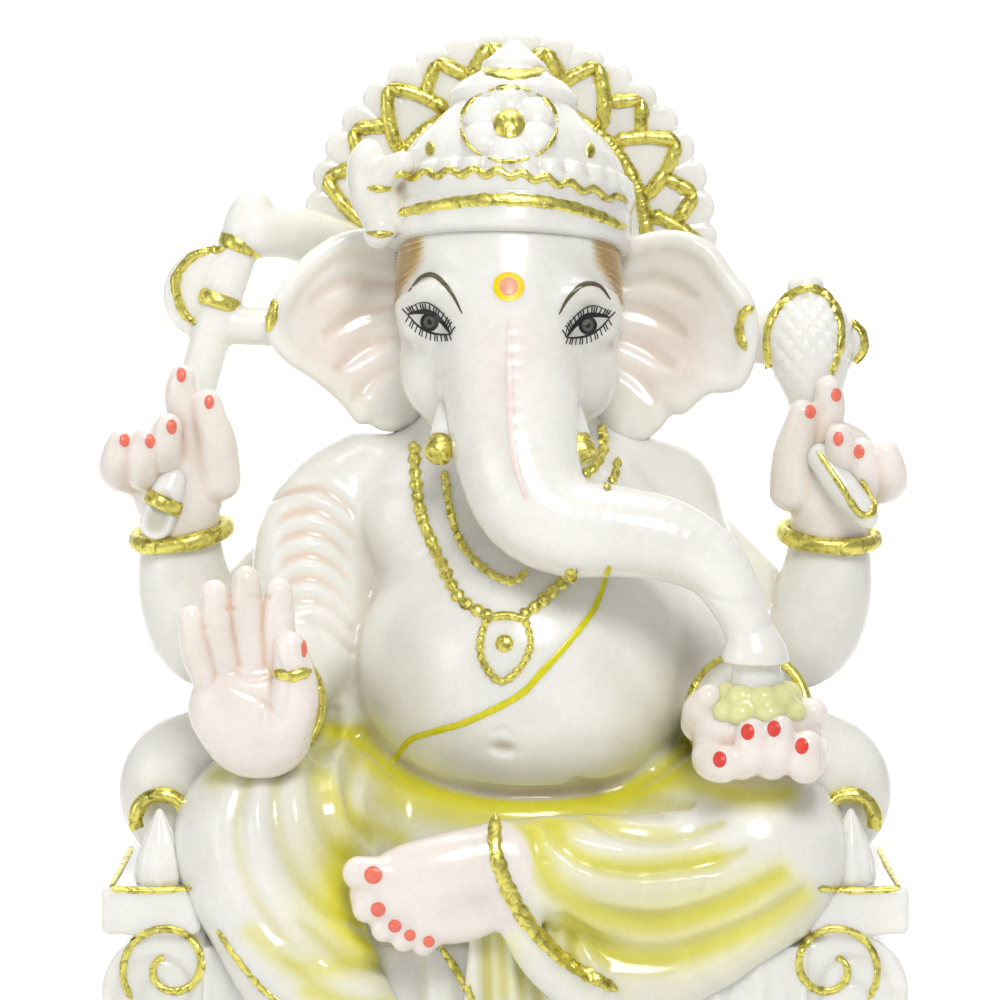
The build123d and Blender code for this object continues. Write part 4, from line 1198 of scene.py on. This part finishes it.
def halo_gold():
    lines = []
    lines.append([halo_point(-8 + 196 * k / 40, 35.2) for k in range(41)])
    for k in range(6):
        angle = -3 + 33.0 * k
        tip = halo_point(angle, HALO_R - 3.4)
        for side in (-13.5, 13.5):
            lines.append([tip, halo_point(angle + side * 0.5, 43.5), halo_point(angle + side, 36.4)])
    for k in range(5):
        angle = 13.5 + 33.0 * k
        tip = halo_point(angle, HALO_R - 4.2)
        for side in (-8.5, 8.5):
            lines.append([tip, halo_point(angle + side, 42.6)])
    flat_ridge("halo_trim", lines, 3.9, 1.8, ["halo_trim"])


def eye(tree, name, cx, cz, side):
    """An almond eye; side is -1 for the left one, whose outer corner is to the left."""
    def at(u, v):
        return (cx + side * u, cz + v + 0.32 * u * 0.55)

    upper = [at(-4.9, -2.2), at(-2.6, 0.6), at(0.2, 2.2), at(3.0, 2.0), at(5.9, 0.9)]
    lower = [at(-4.9, -2.2), at(-2.4, -2.7), at(0.6, -2.6), at(3.4, -1.4), at(5.9, 0.9)]
    crease = [at(-5.1, -1.9), at(-4.6, 0.4), at(-2.4, 3.0), at(0.7, 4.6), at(3.7, 3.8), at(6.0, 1.7)]
    stroke(f"{name}_crease", tree, crease, 0.34, INK, 0.05, 0.6)
    stroke(f"{name}_upper_lid", tree, upper, 1.5, INK, 0.06, 0.7)
    stroke(f"{name}_lower_lid", tree, lower, 0.62, INK, 0.06, 0.5)
    for part, r, material, rise in (("iris_rim", 2.35, INK, 0.03), ("iris", 1.6, IRIS, 0.10),
                                    ("pupil", 0.85, INK, 0.16)):
        dab(f"{name}_{part}", tree, *at(0.4, -0.1), r, r, material, rise)
    for k in range(17):
        t = k / 16
        p = np.array(curve(upper, 6)[int(round(t * 24))])
        length = 2.0 + 0.6 * math.sin(math.pi * t)
        q = p + np.array([side * (2.2 * t - 1.0) * length * 0.55, length * (0.95 - 0.25 * t)])
        bend = (p + q) / 2 + (side * 0.12, 0.1)
        stroke(f"{name}_upper_lash_{k}", tree, [p, bend, q], 0.36, INK, 0.05, steps=3, across=2)
    for k in range(14):
        t = (k + 0.5) / 14
        p = np.array(curve(lower, 6)[int(round(t * 24))])
        length = 1.5 + 0.4 * math.sin(math.pi * t)
        q = p + np.array([side * (2.0 * t - 0.8) * length * 0.5, -length])
        stroke(f"{name}_lower_lash_{k}", tree, [p, q], 0.32, INK, 0.05, steps=3, across=2)


def face_paint(tree):
    eye(tree, "eye_left", -18.4, 232.0, -1)
    eye(tree, "eye_right", 20.2, 231.2, 1)
    stroke("brow_left", tree, [(-24, 239.5), (-21, 243), (-17.5, 243.5), (-13.5, 239.5), (-10.6, 234)],
           1.3, BROW, 0.06, 0.75)
    stroke("brow_right", tree, [(26.3, 237.5), (23.5, 241), (19.5, 241.3), (15.8, 238), (13.4, 233.8)],
           1.3, BROW, 0.06, 0.75)
    for side, name in SIDES:
        for k in range(20):
            z = 252 - 0.72 * k
            inner = 20.6 + 0.36 * k + 0.5 * math.sin(2.1 * k)
            outer = min(inner + 7.5, 28.4)
            middle = (inner + outer) / 2
            sweep = [(0.8 + side * inner, z), (0.8 + side * middle, z - 1.0), (0.8 + side * outer, z - 2.4)]
            stroke(f"hair_{name}_{k}", tree, sweep, 0.36, HAIR, 0.04, 0.8, steps=3, across=2)
    dab("bindi_ring", tree, 0.9, 240.8, 4.0, 3.7, BINDI_YELLOW, 0.15)
    dab("bindi_centre", tree, 0.9, 240.8, 2.6, 2.6, BINDI_RED, 0.35)
    stroke("trunk_line", tree, [(0.9, 232), (1.0, 222), (1.4, 208), (2.6, 196), (5.5, 187)],
           1.5, PALE_PINK, 0.03, 0.6)


def band(name, centre, axis, radius, width):
    """A gilded collar round a shaft."""
    along = Vector(axis).normalized()
    side = along.cross(Vector((0, 1, 0))).normalized()
    up = side.cross(along)
    profile = [(-0.5, -0.8), (-0.5, 0.35), (-0.3, 0.75), (0.3, 0.75), (0.5, 0.35), (0.5, -0.8)]
    vertices = []
    count = 40
    for t, lift in profile:
        for k in range(count):
            a = 2 * math.pi * k / count
            slope = 0.5 * math.sin(a + 0.6)
            r = radius + lift + 0.1 * math.sin(4 * a)
            spot = Vector(centre) + along * (t * width + slope) + (side * math.cos(a) + up * math.sin(a)) * r
            vertices.append(tuple(spot))
    finish_piece(name, vertices, skin(0, len(profile), count, around=True, flipped=True), GOLD)


def gilding(tree):
    def gild(name, line, width, rise, taper=0.2, wobble=0.15, beads=0.0, steps=8):
        stroke(name, tree, line, width, GOLD, rise, taper, wobble, beads, steps=steps)

    gild_jewellery(tree, gild)
    gild_crown(tree, gild)
    gild_held(gild)
    for side, name in SIDES:
        front_edge = [(side * 99.2, 89.0), (side * 90, 88.6), (side * 79, 89.2)]
        side_edge = [(side * 99.4, 89.5), (side * 96.5, 94.5), (side * 94, 99.5)]
        gild(f"ledge_line_{name}", front_edge, 1.9, 0.5, 0.1, 0.1)
        gild(f"ledge_side_{name}", side_edge, 1.6, 0.5, 0.1, 0.1)
        turns = []
        for i in range(22):
            a = math.radians(-40 + 22 * i)
            reach = 12.6 * (1 - i / 27)
            turns.append((side * (83.5 + reach * math.cos(a)) - 1.2, 69.0 + reach * math.sin(a)))
        gild(f"volute_line_{name}", turns, 2.2, 0.6, 0.2, 0.12, steps=3)
    gild("hem_left_leg", [(-72.5, 78.6), (-68.2, 71.8), (-60.4, 62.5), (-52, 57)], 1.8, 0.4, 0.3, 0.2)
    gild("hem_ankle", [(-2.4, 108), (-2.5, 99.6), (-0.2, 91.4), (3.2, 84.4), (8.4, 77.2), (16.6, 69.8),
                       (28.4, 63.2)], 4.4, 0.6, 0.25)
    gild("hem_shin", [(-16.6, 74.8), (-13.2, 69.6), (-9.0, 62.4), (-6, 54)], 2.2, 0.4, 0.4)


def gild_jewellery(tree, gild):
    gild("chain_long_a", [(-22.6, 202), (-22.4, 193.5), (-21, 184), (-18, 176), (-15, 169.5), (-11.5, 163),
                          (-6.5, 159.5), (-3.2, 158)], 3.0, 1.1, 0, 0.15, 3.0)
    gild("chain_long_b", [(3.8, 158), (8.5, 161.5), (13.5, 166), (18, 170)], 3.0, 1.1, 0, 0.15, 3.0)
    gild("chain_long_c", [(24.0, 206.5), (24.6, 202), (24.0, 198.5), (22, 195.6), (19.4, 193.6)],
         2.6, 1.0, 0, 0.15, 2.6)
    gild("chain_long_d", [(28.2, 198), (27.4, 193.5), (25.0, 190)], 2.2, 0.9, 0, 0.15, 2.4)
    gild("chain_short_a", [(-15.2, 195), (-13.5, 184), (-10.5, 176), (-5, 170), (1.5, 167), (5.5, 169.5)],
         2.0, 0.9, 0, 0.2, 2.6)
    gild("pendant_rim", [(-4.6, 157.8), (-6.2, 152), (-5.4, 146.5), (-1.0, 141.8), (4.2, 145.8), (6.4, 151.5),
                         (5.2, 157.2)], 1.9, 1.1, 0, 0.15, 2.2)
    gild("pendant_bar", [(-4.8, 157.6), (0.2, 158.4), (5.2, 157.4)], 2.2, 1.2, 0, 0.1)
    dab("pendant_boss", tree, -0.2, 151.4, 2.3, 2.3, GOLD, 1.0)
    gild("thumb_ring", [(-58.2, 144.2), (-53.6, 143.0), (-48.8, 144.6)], 3.2, 0.5)
    thread = [(26.2, 171), (22.5, 160.5), (16.2, 152), (9, 143.8), (3.2, 138), (-9, 131.8), (-18, 129),
              (-24, 126.8), (-28.5, 121)]
    stroke("sacred_thread", tree, thread, 1.8, YELLOW_LINE, 0.12, 0.25, 0.08)


def gild_crown(tree, gild):
    gild("crown_lower_line", [(-26.6, 259), (-17, 261), (-5, 262.4), (8, 262), (20, 259.6), (30, 255.4)],
         3.4, 0.5, 0.3)
    wave = []
    for k in range(49):
        rise = 5.0 * math.sin(math.pi * min(1, max(0, (k + 6) / 56)))
        wave.append((-27.5 + 1.2 * k, 266.2 + rise - 0.10 * k + 0.75 * math.sin(k * 1.25)))
    gild("crown_wavy_line", wave, 2.2, 0.5, steps=2)
    dab("crown_boss", tree, 1.0, 281.2, 4.0, 3.7, GOLD, 0.5)
    for k in range(6):
        turns = [math.radians(64 + 60 * k + 13 * j) for j in range(5)]
        gild(f"crown_petal_{k}", [(1.0 + 12.0 * math.cos(b), 281.0 + 9.2 * math.sin(b)) for b in turns],
             1.3, 0.3, 0.6, 0.2, steps=3)
    for k, (x, z) in enumerate(((-18.6, 275), (21.2, 274.6))):
        dab(f"crown_dot_{k}", tree, x, z, 1.2, 2.0, GOLD, 0.4)
    for k, (x, z) in enumerate(((-31.3, 265), (-31.2, 253.8))):
        gild(f"crown_bead_{k}", [(x - 3, z + 0.4), (x, z), (x + 3.2, z + 0.2)], 1.9, 0.4, 0.4, 0.2)
    gild("crown_cap_line", [(-5.4, 294.4), (-1, 293.6), (5, 293.5), (9.8, 294.6)], 3.0, 0.4)


def gild_held(gild):
    band("axe_band_top", (-66.4, 11.3, 251.0), (3.4, 1.2, 11), 5.1, 3.8)
    band("axe_band_low", (-71.8, 8.9, 236.8), (4.2, 2.2, 14), 4.9, 3.8)
    band("axe_pommel_band", (-84.8, -6.7, 187.4), (2.0, 1.0, 5.2), 4.2, 3.6)
    gild("axe_blade_rim", [(-69.4, 250.4), (-76.8, 248.8), (-81.2, 244.4), (-81.9, 240.2), (-80.2, 234.6),
                           (-77, 231.4)], 2.6, 0.7, 0.3)
    gild("axe_strut_mark", [(-57.4, 237.6), (-58.0, 233.4), (-59.0, 229.6)], 2.8, 0.4, 0.2, 0.2)
    gild("club_rim", [(71, 209.8), (67.2, 216), (65.4, 223), (65.6, 231), (69.6, 237.6), (75, 240.4),
                      (80, 238.8), (83.4, 232.8), (83.6, 226), (81.4, 219)], 2.2, 0.6)
    gild("club_knob_rim", [(86.2, 232.2), (89.0, 229.4), (89.4, 225), (86.4, 221)], 2.2, 0.5)
    gild("club_strut_mark", [(61.8, 235.6), (59.2, 234.0), (58.4, 229.0), (60.0, 225)], 2.6, 0.4, 0.2, 0.2)
    gild("club_grip_line", [(78.2, 199.6), (84, 191), (88.4, 184.4), (91.6, 184), (92, 187), (89, 192.6)],
         1.9, 0.5)


def nails(tree):
    for k, (x, z, rx, rz) in enumerate((
            (-80.7, 218.8, 1.2, 1.9), (-73.8, 212.0, 1.2, 1.8), (-83.2, 205.8, 1.3, 1.9),
            (-88.6, 202.2, 1.3, 1.8), (-95.0, 202.4, 1.3, 1.7), (82.6, 213.8, 1.3, 1.7),
            (76.2, 209.6, 1.4, 1.8), (83.2, 202.8, 1.3, 1.8), (88.4, 199.6, 1.4, 1.8),
            (93.8, 200.4, 1.4, 1.8))):
        dab(f"rear_nail_{k}", tree, x, z, rx, rz, NAIL, 0.15)
    for k, (x, z) in enumerate(((54.0, 122.0), (61.0, 129.0), (67.6, 129.8), (74.6, 125.4))):
        dab(f"offering_nail_{k}", tree, x, z, 1.7, 2.1, NAIL_RED, 0.15)
    for k, (x, z, r) in enumerate(((-33.2, 92.6, 2.3), (-32, 83.8, 1.9), (-27.8, 79.6, 1.7), (-24, 77.2, 1.5),
                                   (-19.2, 75.6, 1.5))):
        dab(f"toe_nail_{k}", tree, x, z, r, r, NAIL, 0.12)
    dab("thumb_nail", tree, -50.4, 150, 0.7, 2.2, NAIL, 0.1)


# ---------------------------------------------------------------- the idol

throne()
bolsters()
tassels()
halo()
halo_bracket()
cast("body", body_clay(), [
    "torso", "waist_cloth", "leg_folded", "leg_pendant", "foot_folded", "foot_pendant", "centre_pleats",
    "shawl", "arm_rear_left", "arm_rear_right", "arm_front_left", "arm_front_right"], paint_body)
cast("head", head_clay(), ["head", "trunk"], paint_head)
for each_side, each_name in SIDES:
    ear_piece(each_side, each_name)
tusks()
tusk_caps()
cast("crown", crown_clay(), ["crown_band", "crown_dome", "crown_cap", "crown_finial",
                             "crown_rosette", "crown_crest"], paint_crown)
for each_side, each_name in SIDES:
    rear_hand(each_side, each_name)
open_hand()
offering_hand()
sweet_pile()
axe()
club()

marble_tree = surface_tree(made)
halo_gold()
ring("bangle_rear_left", (-81.5, 6, 178.5), 11.6, 1.9, (8, -8, 0), ["bangle_rear_left"])
ring("bangle_rear_right", (81.5, 6, 178.0), 11.6, 1.9, (8, 4, 0), ["bangle_rear_right"])
ring("bangle_front_left", (-59.0, -43.0, 142.0), 15.0, 1.4, (80, 0, 14), ["bangles_front"])
ring("bangle_front_right", (58.6, -38.0, 139.5), 14.4, 1.4, (70, 0, -16))
for each_side, each_name in SIDES:
    ring(f"bolster_ring_{each_name}", (each_side * TASSEL_X, -37.6, 113.0), 6.2, 1.9, (90, 0, 0),
         ["bolster_rings"] if each_side < 0 else (), -20, 200)
gilding(marble_tree)
face_paint(marble_tree)
nails(marble_tree)
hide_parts("chain_long")
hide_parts("chain_short")
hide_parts("pendant")

# ---------------------------------------------------------------- studio

# a floor that bends up into a backdrop, in metres
HALF_W, FRONT_Y, BACK_Y, BEND, TOP_Z = 4.0, -3.0, 1.6, 1.2, 4.0
floor_mesh = bpy.data.meshes.new("floor")
profile = [(FRONT_Y, 0.0), (BACK_Y - BEND, 0.0)]
for i in range(1, 13):
    a = math.radians(90 * i / 12)
    profile.append((BACK_Y - BEND + BEND * math.sin(a), BEND - BEND * math.cos(a)))
profile.append((BACK_Y, TOP_Z))
floor_points = [(x, y, z) for y, z in profile for x in (-HALF_W, HALF_W)]
floor_faces = [(2 * i, 2 * i + 1, 2 * i + 3, 2 * i + 2) for i in range(len(profile) - 1)]
floor_mesh.from_pydata(floor_points, [], floor_faces)
floor_mesh.shade_smooth()
floor = bpy.data.objects.new("floor", floor_mesh)
bpy.context.collection.objects.link(floor)
floor_mesh.materials.append(new_material("floor_white", Base_Color=(0.93, 0.93, 0.93, 1), Roughness=0.7)[0])

world = bpy.data.worlds.new("studio")
bpy.context.scene.world = world
world.use_nodes = True
world.node_tree.nodes["Background"].inputs["Color"].default_value = (1, 1, 1, 1)
world.node_tree.nodes["Background"].inputs["Strength"].default_value = 0.35


def lamp(name, place, size, power, aim=(0, 0, 0.18)):
    light = bpy.data.lights.new(name, "AREA")
    light.shape = "DISK"
    light.size = size
    light.energy = power
    holder = bpy.data.objects.new(name, light)
    holder.location = place
    holder.rotation_mode = "QUATERNION"
    holder.rotation_quaternion = (Vector(aim) - Vector(place)).to_track_quat("-Z", "Y")
    bpy.context.collection.objects.link(holder)


lamp("key", (0.12, -0.95, 0.95), 0.42, 8.3)
lamp("fill_left", (-1.0, -0.6, 0.4), 0.7, 1.8)
lamp("top", (0.0, 0.1, 1.3), 0.6, 2.6)
lamp("backdrop", (0.0, 0.45, 1.2), 0.8, 16.0, (0, 1.8, 0.25))

camera_data = bpy.data.cameras.new("camera")
camera_data.lens = 144
camera_data.sensor_width = 36
camera = bpy.data.objects.new("camera", camera_data)
home = Vector((0, HOME_Y * MM, 0))
camera.location = Vector(EYE * MM) + home
camera.rotation_mode = "QUATERNION"
camera.rotation_quaternion = (Vector(TARGET * MM) + home - camera.location).to_track_quat("-Z", "Y")
bpy.context.collection.objects.link(camera)
bpy.context.scene.camera = camera
bpy.context.scene.view_settings.view_transform = "Standard"
